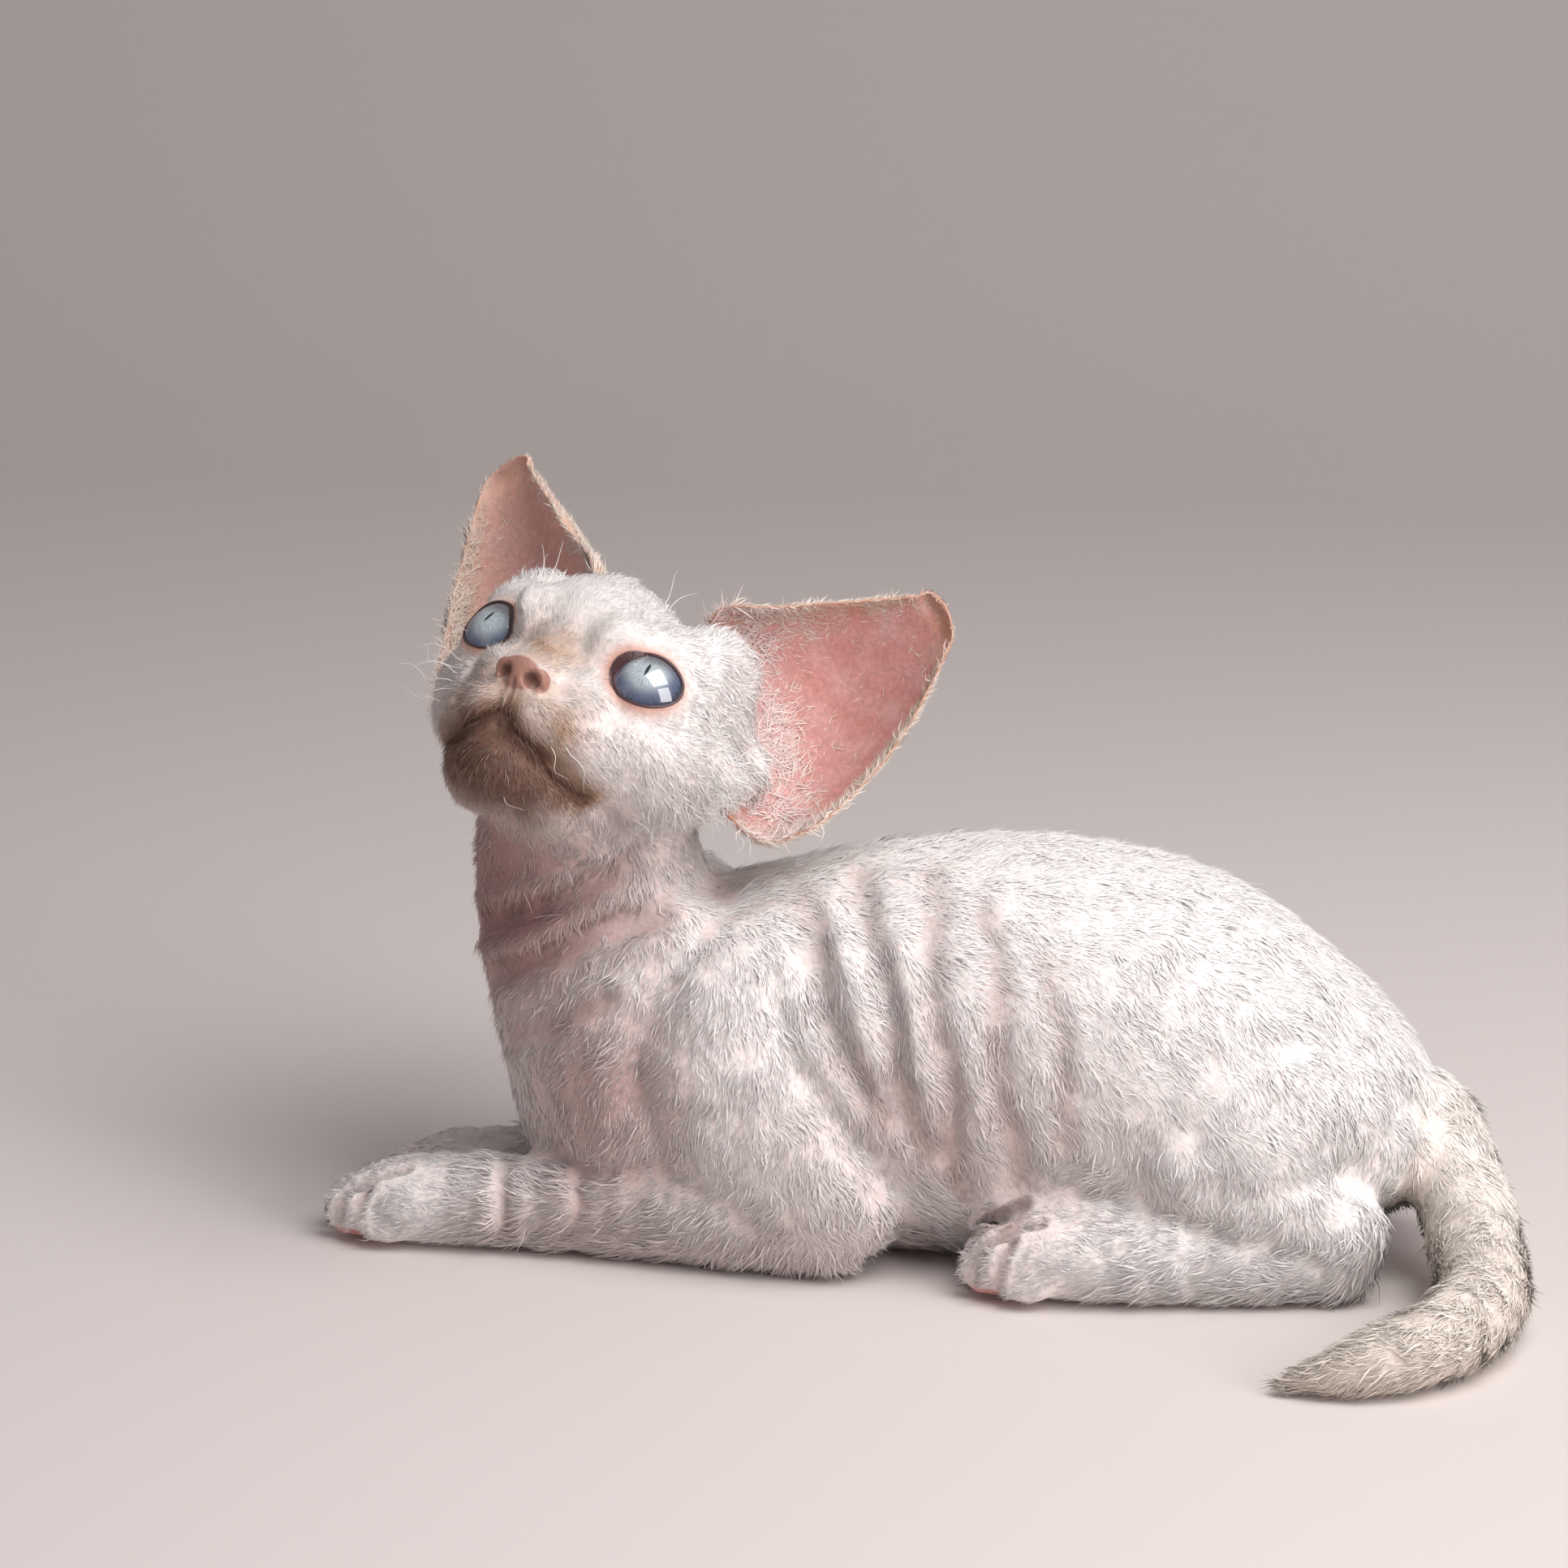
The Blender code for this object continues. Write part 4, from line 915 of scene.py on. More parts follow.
# And on the left side of the head, in the head frame.
HEAD_FLOW = [
    ((10, 0, -6), (-0.5, 0.05, 0.85)), ((8, 4, -6), (-0.5, 0.4, 0.75)), ((6, 0, 0), (-0.25, 0.05, 0.95)),
    ((5, 6, 2), (-0.3, 0.15, 0.9)), ((4, 0, 10), (-0.45, 0, 0.9)), ((-4, 5, 20), (-0.85, 0.05, 0.45)),
    ((-20, 0, 24), (-1, 0, 0.1)), ((-45, 0, 14), (-0.7, 0, -0.7)), ((-50, 0, -4), (-0.3, 0, -0.95)),
    ((0, 15, 11), (-0.55, 0.15, 0.8)), ((-14, 20, 14), (-0.9, 0.25, 0.3)), ((5, 7, -9), (-0.5, 0.75, 0.3)),
    ((0, 15, -9), (-0.6, 0.7, -0.1)), ((-6, 24, -4), (-0.9, 0.35, 0.1)), ((8, 5, -17), (-0.35, 0.75, -0.45)),
    ((3, 12, -17), (-0.6, 0.65, -0.35)), ((-8, 20, -16), (-0.8, 0.4, -0.4)),
    ((-16, 28, -8), (-0.95, 0.3, -0.1)), ((7, 2, -25), (-0.2, 0.2, -0.95)),
    ((4, 6, -29), (-0.5, 0.35, -0.8)), ((-6, 13, -29), (-0.85, 0.3, -0.45)),
    ((-20, 20, -24), (-0.85, 0.2, -0.5)), ((-4, 0, -32), (-0.9, 0, -0.45)),
    ((-20, 0, -32), (-0.9, 0, -0.45)), ((-30, 28, -10), (-0.9, 0.35, -0.2)),
]


# Soft spots in the head frame, as (centre, radii): the nose leather, and the masks that Places holds by name.
NOSE_SPOTS = [((12.2, 0, -11.2), (4.0, 4.9, 3.2)), ((11.2, 4.8, -11.2), (2.8, 2.5, 2.3))]
HEAD_SPOTS = {
    "bridge": ((6, 0, -5), (8, 5.5, 6.5)),
    "pads": ((4, 7.5, -17), (8, 7, 6)),
    # On the chin and under the lip, the tan and brown are partly markings and partly painted shade.
    "chin": ((2, 0, -27), (10, 12, 7)),
    "muzzle": ((5, 0, -16), (12, 13, 9)),
    "under_lip": ((4, 0, -27), (11, 14, 7)),
    # The frown's grey is painted shade in the furrow over the eyes.
    "frown": ((3, 6.5, 0), (6, 4, 7)),
    "ear_root": ((-22, 28, 0), (9, 9, 14)),
}
# And in the design frame.
# The throat, breast and flank spots mark where rose painted shade lies on the coat.
THROAT_SPOT, BREAST_SPOT = ((-52, -10, 72), (26, 34, 28)), ((-30, -20, 34), (17, 26, 22))
FLANK_SPOT = (32, 38, 30), (34, 14, 24)
# Distances between which a mask fades, and beyond which a line is not looked for.
HEAD_FADE, FACE_FADE, PAW_FADE, TAIL_FADE = (34, 44), (22, 32), (13, 24), (11, 14)
MOUTH_REACH, FOLD_REACH, TAIL_REACH = 8.0, 9.0, 16
# The pads: their middle's height, radii and the share of those between which they fade.
PAD_HEIGHT, PAD_RADII, PAD_FADE = 1.2, (9, 12, 2.4), (0.7, 1.1)


class Places:
    """Where on the kitten each point lies, as soft masks from 0 to 1."""

    def __init__(self, co, normal):
        self.co, self.normal = co, normal
        self.ear, self.inside, self.across, self.height, self.to_tip = EARS.read(co, normal)
        self.h = h = mirrored_head(co)
        self.head = within(co, head_point(SKULL_MIDDLE), *HEAD_FADE) * (1 - self.ear)
        self.face = within(co, head_point(FACE_MIDDLE), *FACE_FADE) * (1 - self.ear)
        nose = np.maximum.reduce([blob(h, *spot) for spot in NOSE_SPOTS])
        self.nose = ramp(nose, 0.28, 0.46) * (h[:, 0] > 6)
        for name, spot in HEAD_SPOTS.items():
            setattr(self, name, blob(h, *spot))
        self.mouth = polyline_distance(co, MOUTH_LINE, MOUTH_REACH)
        eye_frame = np.linalg.inv(np.array(HEAD.inverted() @ gaze(LEFT)))
        local = h @ eye_frame[:3, :3].T + eye_frame[:3, 3]
        self.lid = np.where(local[:, 0] > 0, almond(local[:, 1], local[:, 2]), 20)
        self.above_eye = local[:, 2]
        inner = np.array(HEAD.inverted() @ gaze(LEFT) @ Vector(EYE_CORNER))
        self.corner = blob(h, inner, (1.8, 1.8, 1.8))
        self.throat = np.maximum(blob(co, *THROAT_SPOT), 0.8 * blob(co, *BREAST_SPOT))
        sides = co * (1, 0, 1) + np.abs(co) * (0, 1, 0)
        self.flank = blob(sides, *FLANK_SPOT)
        tail = 1 - ramp(polyline_distance(co, TAIL_LINE[:, :3], TAIL_REACH), *TAIL_FADE)
        self.tail = tail * ramp(co[:, 0] - 0.3 * co[:, 2] - 0.6 * np.minimum(co[:, 1], 0), 108, 124)
        self.paw, self.pad = np.zeros(len(co)), np.zeros(len(co))
        for side, middle, centre_y, _ in paws():
            self.paw = np.maximum(self.paw, within(co, on_side((middle + 4, centre_y, 6), side), *PAW_FADE))
            toe_tip = np.array(on_side((middle, centre_y, PAD_HEIGHT), side))
            away = np.linalg.norm((co - toe_tip) / PAD_RADII, axis=1)
            self.pad = np.maximum(self.pad, 1 - ramp(away, *PAD_FADE))
        fold = np.full(len(co), FOLD_REACH)
        for line, half in FOLD_LINES:
            near, away, _ = line_distance(co, line, FOLD_REACH)
            fold[near] = np.minimum(fold[near], away / half * 2.6)
        self.fold = np.exp(-((fold / 2.4) ** 2))
        self.low = 1 - ramp(co[:, 2], 6, 22)
        edge = np.minimum(self.across, 1 - self.across)
        self.rim = np.maximum(1 - ramp(edge, 0.03, 0.22), ramp(self.height, 0.75, 1.0)) * self.ear


def coat_plan(at):
    """Tufts a square millimetre, and each tuft's length, width and lift in degrees."""
    paw = at.paw * (1 - at.face)
    density, length, width, lift = BODY_TUFTS
    density = density - 1.6 * at.throat + 4.0 * at.face + 2.2 * paw
    length = length + 0.4 * at.low - 1.0 * at.face - 1.6 * paw
    width = width - 0.12 * at.face - 0.06 * paw
    lift = lift + 5 * at.low + 5 * at.face
    length *= 1 - 0.45 * np.exp(-((np.maximum(at.lid, 0) / 3.0) ** 2)) * at.face
    upper_lid = 0.7 * ramp(at.above_eye, 0, 3)
    bare = np.maximum(at.nose, (1 - ramp(at.lid - upper_lid, 0.3, 1.4)) * (at.face > 0.3))
    bare = np.maximum(bare, np.minimum(1, 1.2 * at.corner))
    lip = 1 - ramp(at.mouth, 0.25, 0.45)
    density *= 1 - np.maximum(bare, lip * (1 - at.ear))
    on_ear = at.ear > 0.3
    density, length, width = (np.where(on_ear, *pair) for pair in zip(EAR_TUFTS, (density, length, width)))
    length = length + 0.3 * at.ear_root * (1 - at.ear)
    lift = lift + 3 * at.ear_root * (1 - at.ear)
    # Inside the ear hair grows along the upper edge, thinly along the lower one, and at the foot.
    foot = 1 - ramp(at.height, 0.20, 0.36)
    upper = (1 - ramp(at.across, 0.08, 0.36)) * 0.9
    lower = (1 - ramp(1 - at.across, 0.03, 0.17)) * ramp(at.height, 0.1, 0.2)
    cup = np.maximum(np.maximum(upper, lower), 0.7 * foot * ramp(at.across, 0, 0.2))
    inside = at.inside > 0.3
    density = np.where(inside, CUP_DENSITY * np.maximum(cup, 0.04), density)
    length = np.where(inside, 1.6 + 1.4 * foot + 1.4 * lower * (1 - at.height), length)
    length = np.where(on_ear, length * (1 - 0.5 * ramp(at.height, 0.75, 0.95)), length)
    lift = np.where(inside, 18 + 14 * lower, lift)
    under = (at.co[:, 2] < 1.2) & (at.normal[:, 2] < -0.2)
    density *= (1 - at.pad) * (1 - 0.4 * paw * at.fold)
    return np.where(under, 0, density), length, width, lift


def face_marks_and_chin_shade(at):
    """(tan, dark brown) shares of the markings on the face; on the chin they are partly painted shade."""
    patches = waves(at.co, *FACE_PATCHES)
    lips = 1 - ramp(at.mouth, 0.5, 7.5)
    # On the chin and under the lip, the tan and brown are partly painted shade.
    tan = np.maximum.reduce([1.2 * at.bridge, 1.0 * at.pads, 1.4 * at.chin, 1.2 * lips, 0.8 * at.muzzle])
    dark = np.maximum(1 - ramp(at.mouth, 0.6, 3.6), np.minimum(1, 1.7 * at.under_lip))
    return np.clip(tan * (0.9 + patches), 0, 1) * at.face, dark * at.face


def hair_colour(at):
    """The coat's markings, with painted shade: rose on the throat, breast, flank and folds, grey in the frown
    and part of the chin's brown; the fore body is rosier low down.
    """
    tan, dark = face_marks_and_chin_shade(at)
    colour = layered(
        plain(HAIR_WHITE, len(at.co)),
        (HAIR_CREAM, 0.75 * at.tail * (0.55 + 0.45 * ramp(-at.co[:, 2], -30, -5))),
        (HAIR_ROSE, 0.3 * at.low * (1 - at.paw) * (1 - at.tail) * (at.co[:, 0] < 30)),
        # Painted shade: rose on the throat, breast and flank and in the folds.
        (HAIR_ROSE, np.maximum(0.9 * at.throat, 0.35 * at.flank) + 0.5 * at.fold),
        (HAIR_TAN, tan),
        # Painted shade: grey in the frown.
        (HAIR_GREY, 0.4 * at.frown),
        # Brown at the mouth is the lips' own; on the chin it is partly painted shade.
        (HAIR_BROWN, 0.86 * dark),
    )
    ear = layered(
        plain(HAIR_CREAM, len(at.co)),
        (EAR_TAN, 0.45 * at.rim * ramp(at.height, 0.4, 0.9)),
        (HAIR_BLUSH, (1 - ramp(at.height, 0.2, 0.5)) * at.inside),
    )
    return colour + (ear - colour) * (0.85 * at.ear)[:, None]


def skin_colour(at):
    """Bare skin under the coat, with the same markings and painted shade, painted shade in the nostrils and
    painted light on the far ear.
    """
    patches = waves(at.co, *SKIN_PATCHES)
    tan, dark = face_marks_and_chin_shade(at)
    colour = layered(
        plain(SKIN_PALE, len(at.co)),
        (SKIN_PINK, 0.5 * at.low + patches),
        # Mauve: the throat's pink skin with painted shade, and painted shade in the folds.
        (SKIN_MAUVE, 0.9 * at.throat + 0.7 * at.fold),
    )
    colour = colour + (hair_colour(at) - colour) * (0.75 * (1 - at.throat))[:, None]
    colour = layered(
        colour,
        (HAIR_TAN, 0.7 * tan),
        (HAIR_BROWN, 0.85 * dark),
        (LIP_BROWN, (1 - ramp(at.mouth, 0.4, 1.1)) * at.face),
        (LID_PINK, 0.9 * np.exp(-((np.maximum(at.lid, 0) / 1.6) ** 2)) * at.face),
        (CORNER_PINK, np.minimum(1, 1.3 * at.corner)),
        (RIM_DARK, (1 - ramp(at.lid, 0.05, 0.35)) * at.face),
        (PAD_PINK, at.pad),
    )
    ear = layered(
        plain(EAR_PINK, len(at.co)),
        (EAR_TAN, at.rim * 0.9 + 0.3 * ramp(waves(at.co, *EAR_FLECKS), 0.2, 1.0)),
        # Painted light: the far ear is painted paler.
        (FAR_EAR_PAINTED_LIGHT, 0.5 * (at.co[:, 0] < HEAD_ORIGIN[0])),
        (SKIN_PALE, 0.15 + patches),
        (HAIR_CREAM, 0.6 * (1 - at.inside) * (1 - at.rim)),
    )
    hole = np.linalg.norm((at.h - np.array(NOSTRIL)) / NOSTRIL_RADII, axis=1)
    slit = polyline_distance(at.h, np.array(NOSTRIL_SLIT), 2.0)
    inner = np.maximum(1 - ramp(hole, 0.9, 1.3), 1 - ramp(slit, 0.25, 0.8))
    colour = layered(
        colour + (ear - colour) * at.ear[:, None],
        (NOSE_LEATHER, at.nose),
        # Painted shade in the nostrils' holes and slits.
        (NOSTRIL_SHADE, inner * at.face * (at.h[:, 0] > 6)),
    )
    return np.clip(colour, 0.005, 0.95)


def paint(obj, name, colours):
    layer = obj.data.color_attributes.new(name, "FLOAT_COLOR", "POINT")
    data = np.ones((len(colours), 4), np.float32)
    data[:, :3] = colours
    layer.data.foreach_set("color", data.ravel())


def number_layer(obj, name, values):
    layer = obj.data.attributes.new(name, "FLOAT", "POINT")
    layer.data.foreach_set("value", np.asarray(values, np.float32))


# Coat.

POOL = 385000
LONG_SHARE, LONG_GROWTH = 0.12, 1.35
PIECE_LIMIT = 185000
PATCH = 0.003
ROOT_SINK = 0.3
FLOOR_GAP = 0.03
SOFT_NORMALS = 0.62
FACE_SOFT_NORMALS = 0.45
# The flat map of the skin.
THIN_FACES, ISLAND_ANGLE, ISLAND_GAP = 9000, 66, 0.004
LIFT_LIMITS = 3, 60
# The share of tufts with paler tips round the mouth, and how pale those are.
GRIZZLED_SHARE, GRIZZLE = 0.35, 0.32
# Tufts a square millimetre, their length, width and lift in degrees; the lift on the ears is the body's.
BODY_TUFTS = (5.2, 2.9, 0.31, 13)
EAR_TUFTS = (6.5, 2.2, 0.24)
CUP_DENSITY = 7.0


class Unwrap:
    """A flat map of the skin's own shape, made on a thinned copy of it."""

    def __init__(self, obj):
        copy = linked("unwrap", obj.data.copy())
        thin = copy.modifiers.new("thin", "DECIMATE")
        thin.ratio = THIN_FACES / len(copy.data.polygons)
        applied(copy)
        bpy.context.view_layer.objects.active = copy
        for other in bpy.context.selected_objects:
            other.select_set(False)
        copy.select_set(True)
        bpy.ops.object.mode_set(mode="EDIT")
        bpy.ops.mesh.select_all(action="SELECT")
        bpy.ops.mesh.quads_convert_to_tris()
        bpy.ops.uv.smart_project(angle_limit=math.radians(ISLAND_ANGLE), island_margin=ISLAND_GAP)
        bpy.ops.object.mode_set(mode="OBJECT")
        self.uv = read_rows(copy.data.uv_layers.active.data, "uv", 2).reshape(-1, 3, 2)
        self.corners = read_rows(copy.data.loops, "vertex_index", 1, np.int32).reshape(-1, 3)
        self.co = coordinates(copy)
        self.tree = surface_tree(copy)
        bpy.data.objects.remove(copy)

    def read(self, points):
        face = np.array([self.tree.find_nearest(row(p))[2] for p in points])
        a, b, c = (self.co[self.corners[face, k]] for k in range(3))
        u, v, w = b - a, c - a, points - a
        uu, uv, vv, wu, wv = ((one * two).sum(1) for one, two in ((u, u), (u, v), (v, v), (w, u), (w, v)))
        scale = np.maximum(uu * vv - uv * uv, 1e-12)
        s = np.clip((vv * wu - uv * wv) / scale, 0, 1)[:, None]
        t = np.clip((uu * wv - uv * wu) / scale, 0, 1)[:, None]
        out = self.uv[face, 0] * (1 - s - t) + self.uv[face, 1] * s + self.uv[face, 2] * t
        return np.clip(out, PATCH, 1 - PATCH)


def roots_on(skin, count):
    """Seeded places on the skin, as many per square millimetre as the plan says: (points, normals)."""
    skin.data.calc_loop_triangles()
    tri = read_rows(skin.data.loop_triangles, "vertices", 3, np.int32)
    co, normal = coordinates(skin), normals(skin)
    area = np.linalg.norm(np.cross(co[tri[:, 1]] - co[tri[:, 0]], co[tri[:, 2]] - co[tri[:, 0]]), axis=1) / 2
    want = area * coat_plan(Places(co[tri].mean(1), unit(normal[tri].mean(1))))[0]
    total = want.sum()
    pick = np.searchsorted(np.cumsum(want) / total, rng.random(min(count, int(total))))
    pick = np.minimum(pick, len(tri) - 1)
    a, b = rng.random(len(pick)), rng.random(len(pick))
    flip = a + b > 1
    a[flip], b[flip] = 1 - a[flip], 1 - b[flip]
    weights = np.stack([1 - a - b, a, b], 1)[..., None]
    return (co[tri[pick]] * weights).sum(1), unit((normal[tri[pick]] * weights).sum(1))


def turned(vector, axis, angle):
    """Vectors turned about unit axes by angles, row by row."""
    return vector * np.cos(angle)[:, None] + np.cross(axis, vector) * np.sin(angle)[:, None]


def tuft_mesh(points, normal, direction, length, width, lift, wave, bent):
    """Tapering three-sided tufts, bent ones with a middle ring.

    Returns (vertices, triangles, places on the patch from 0 to 1, vertices in each tuft).
    """
    side = np.cross(normal, direction)
    count = len(points)
    high = np.radians(lift)[:, None]
    w, size, sway = (width / 2)[:, None], length[:, None], side * wave[:, None]

    def leaning(share):
        return (direction * np.cos(high * share) + normal * np.sin(high * share)) * size

    def ring(centre, scale):
        """Three corners round a centre: two on the sides and one on top."""
        return [centre + side * w * scale, centre - side * w * scale, centre + normal * w * scale * 0.8]

    base = points - normal * ROOT_SINK
    if bent:
        middle = base + leaning(1) * 0.5 + sway
        corners = [*ring(base, 1.0), *ring(middle, 0.85), middle + leaning(0.2) * 0.5 - sway * 1.6]
        faces = []
        for one, two in ((0, 1), (1, 2), (2, 0)):
            faces += [(one, one + 3, two + 3), (one, two + 3, two), (one + 3, 6, two + 3)]
        flat = [(0, 0), (1, 0), (0.5, 0), (0, 0.5), (1, 0.5), (0.5, 0.5), (0.5, 1)]
    else:
        corners = [*ring(base, 1.0), base + leaning(1)]
        faces = [(0, 3, 1), (1, 3, 2), (2, 3, 0)]
        flat = [(0, 0), (1, 0), (0.5, 0), (0.5, 1)]
    per = len(corners)
    triangles = (np.array(faces)[None] + (np.arange(count) * per)[:, None, None]).reshape(-1, 3)
    return np.stack(corners, 1).reshape(-1, 3), triangles, np.tile(np.array(flat), (count, 1)), per


class Tufts:
    """Collects tufts and builds them as one mesh with its colours, normals and bake map."""

    def __init__(self):
        self.vertices, self.triangles, self.normals, self.uv, self.tones = [], [], [], [], []
        self.count = 0

    def add(self, shape, normal, place, root_tone, tip_tone):
        vertices, triangles, flat, per = shape
        share = flat[:, 1:] ** 0.7
        self.triangles.append(triangles + self.count)
        self.vertices.append(vertices)
        self.normals.append(np.repeat(normal, per, axis=0))
        self.uv.append(np.repeat(place, per, axis=0) + (flat - 0.5) * PATCH)
        root_tone, tip_tone = (np.repeat(tone, per, axis=0) for tone in (root_tone, tip_tone))
        self.tones.append(root_tone * (1 - share) + tip_tone * share)
        self.count += len(vertices)

    def build(self, name, look, softness):
        """Returns the number of triangles made."""
        vertices, triangles = np.concatenate(self.vertices), np.concatenate(self.triangles)
        vertices[:, 2] = np.maximum(vertices[:, 2], FLOOR_GAP)
        obj = mesh_object(name, vertices, triangles)
        layer = obj.data.uv_layers.new(name="OFBake")
        layer.data.foreach_set("uv", np.concatenate(self.uv)[triangles.ravel()].astype(np.float32).ravel())
        paint(obj, "tone", np.concatenate(self.tones))
        soft = unit(normals(obj) * (1 - softness) + np.concatenate(self.normals) * softness)
        obj.data.normals_split_custom_set_from_vertices(soft.astype(np.float32))
        obj.data.materials.append(look)
        filed(obj)
        return len(triangles)


def mesh_object(name, vertices, triangles):
    mesh = bpy.data.meshes.new(name)
    mesh.vertices.add(len(vertices))
    mesh.vertices.foreach_set("co", ((vertices + SHIFT) * MM).astype(np.float32).ravel())
    mesh.loops.add(len(triangles) * 3)
    mesh.loops.foreach_set("vertex_index", triangles.astype(np.int32).ravel())
    mesh.polygons.add(len(triangles))
    mesh.polygons.foreach_set("loop_start", np.arange(0, len(triangles) * 3, 3, dtype=np.int32))
    mesh.polygons.foreach_set("loop_total", np.full(len(triangles), 3, np.int32))
    mesh.update(calc_edges=True)
    mesh.shade_smooth()
    return linked(name, mesh)


def coat_region(at):
    """The number of the coat piece, in COAT_SLOTS, that each root belongs to."""
    x, y, z = at.co.T
    region = np.zeros(len(x), int)
    region[(y < -14)] = 1
    region[(y > 14)] = 2
    region[(z < 34) & (x < 22)] = 6
    region[(z < 26) & (x > 40)] = 7
    region[(x < -14) & (z >= 30)] = 3
    region[at.head > 0.5] = 4
    region[at.ear > 0.3] = 5
    region[at.tail > 0.5] = 8
    return region


COAT_SLOTS = {
    "coat_back": "torso",
    "coat_left_side": "torso",
    "coat_right_side": "torso",
    "coat_neck": "neck",
    "coat_head": "head",
    "coat_ears": "ear_left",
    "coat_front_legs": "foreleg_left",
    "coat_hind_legs": "hindleg_left",
    "coat_tail": "tail_middle",
}


def make_coat(skin, look):
    points, normal = roots_on(skin, POOL)
    at = Places(points, normal)
    _, length, width, lift = coat_plan(at)
    direction = FLOW.read(points, normal)
    on_ear = at.ear > 0.3
    tipward = at.to_tip - normal * (at.to_tip * normal).sum(1)[:, None]
    direction[on_ear] = tipward[on_ear]
    direction = unit(direction)
    count = len(points)
    # The coat waves: neighbours turn and lift together, and each tuft a little on its own.
    swing = waves(points, *BROAD_SWING) + waves(points, *FINE_SWING) + 0.2 * rng.normal(size=count)
    calm = 1 - 0.25 * at.face
    swing = swing + 0.9 * at.inside * rng.normal(size=count) + 0.15 * at.ear_root * rng.normal(size=count)
    direction = turned(direction, normal, swing * calm)
    lift = lift + waves(points, *LIFT_WAVE) * calm + 4 * rng.normal(size=count)
    lift = np.clip(lift, *LIFT_LIMITS)
    length = length * np.exp(0.22 * rng.normal(size=count)) * (1 + waves(points, *LENGTH_WAVE))
    width = width * np.exp(0.2 * rng.normal(size=count))
    wave = 0.35 * rng.normal(size=count) * (1 - 0.6 * at.face)
    colour = hair_colour(at)
    skin_tone = skin_colour(at)
    shade = 1 - (0.10 + 0.22 * at.face) * rng.random(count)
    tip_colour = colour * shade[:, None]
    grizzled = np.maximum(at.under_lip, at.muzzle) * (rng.random(count) < GRIZZLED_SHARE)
    tip_colour = mix(tip_colour, HAIR_CREAM, GRIZZLE * grizzled)
    # Roots are painted partway to the skin's tone: the skin between the tufts and painted shade deep in the
    # coat, the more so on the face.
    root_colour = skin_tone + (colour - skin_tone) * (0.7 - 0.3 * at.face)[:, None]
    place = UNWRAP.read(points)
    long = rng.random(count) < LONG_SHARE
    region = coat_region(at)
    made = 0
    for number, (name, slot) in enumerate(COAT_SLOTS.items()):
        here = np.flatnonzero(region == number)
        here = here[np.argsort(points[here, 0])]
        faces = 3 * (~long[here]).sum() + 9 * long[here].sum()
        for part, chosen in enumerate(np.array_split(here, math.ceil(faces / PIECE_LIMIT))):
            tufts = Tufts()
            for bent in (False, True):
                pick = chosen[long[chosen] == bent]
                size = length[pick] * (LONG_GROWTH if bent else 1)
                lie = points[pick], normal[pick], direction[pick]
                shape = tuft_mesh(*lie, size, width[pick], lift[pick], wave[pick], bent)
                tufts.add(shape, normal[pick], place[pick], root_colour[pick], tip_colour[pick])
            piece_name = name if faces <= PIECE_LIMIT else f"{name}_{part + 1}"
            softness = FACE_SOFT_NORMALS if name == "coat_head" else SOFT_NORMALS
            made += tufts.build(piece_name, look, softness)
    print("coat triangles", made)


# Materials.


def nodes_of(name):
    made = bpy.data.materials.new(name)
    made.use_nodes = True
    tree = made.node_tree
    return made, tree, tree.nodes["Principled BSDF"]


def put(tree, socket, value):
    """Links an output to a socket, or sets the socket to a constant."""
    if isinstance(value, bpy.types.NodeSocket):
        tree.links.new(value, socket)
    else:
        socket.default_value = value


def put_all(tree, node, **values):
    """Fills named inputs; an underscore in a name stands for a space."""
    for name, value in values.items():
        put(tree, node.inputs[name.replace("_", " ")], value)


def add_node(tree, kind, **values):
    node = tree.nodes.new("ShaderNode" + kind)
    put_all(tree, node, **values)
    return node


def attribute(tree, name):
    node = add_node(tree, "Attribute")
    node.attribute_name = name
    return node


def object_noise(tree, scale, detail=3.0):
    place = add_node(tree, "TexCoord").outputs["Object"]
    noise = add_node(tree, "TexNoise", Scale=scale, Detail=detail, Roughness=0.55, Vector=place)
    return noise.outputs["Fac"]


def tone_times_noise(tree, shader, scale, low, high):
    """The painted colour, varied by a fine noise between two factors."""
    noise = object_noise(tree, scale)
    spread = add_node(tree, "MapRange", Value=noise, From_Min=0.3, From_Max=0.7, To_Min=low, To_Max=high)
    times = add_node(tree, "VectorMath")
    times.operation = "SCALE"
    put(tree, times.inputs[0], attribute(tree, "tone").outputs["Color"])
    put(tree, times.inputs["Scale"], spread.outputs["Result"])
    put_all(tree, shader, Base_Color=times.outputs["Vector"])


def skin_material():
    made, tree, shader = nodes_of("skin")
    tone_times_noise(tree, shader, 900.0, 0.86, 1.1)
    wet = attribute(tree, "wet").outputs["Fac"]
    rough = add_node(tree, "MapRange", Value=wet, To_Min=0.62, To_Max=0.3)
    bump = add_node(tree, "Bump", Strength=0.35, Distance=0.0004, Height=object_noise(tree, 1500.0, 2.0))
    put_all(tree, shader, Roughness=rough.outputs["Result"], Normal=bump.outputs["Normal"])
    put_all(tree, shader, Subsurface_Weight=0.35, Subsurface_Scale=0.0015, Specular_IOR_Level=0.35)
    put_all(tree, shader, Subsurface_Radius=(1.0, 0.35, 0.25))
    return made


def coat_material():
    made, tree, shader = nodes_of("coat")
    tone_times_noise(tree, shader, 400.0, 0.93, 1.05)
    put_all(tree, shader, Roughness=0.62, Specular_IOR_Level=0.25, Sheen_Weight=0.06, Sheen_Roughness=0.4)
    return made


def speckled_material(name, scale, first, second, roughness):
    """Two tones that run into each other."""
    made, tree, shader = nodes_of(name)
    tones = add_node(tree, "ValToRGB", Fac=object_noise(tree, scale))
    for stop, tone in zip(tones.color_ramp.elements, (first, second)):
        stop.color = (*tone, 1)
    put_all(tree, shader, Base_Color=tones.outputs["Color"], Roughness=roughness)
    return made


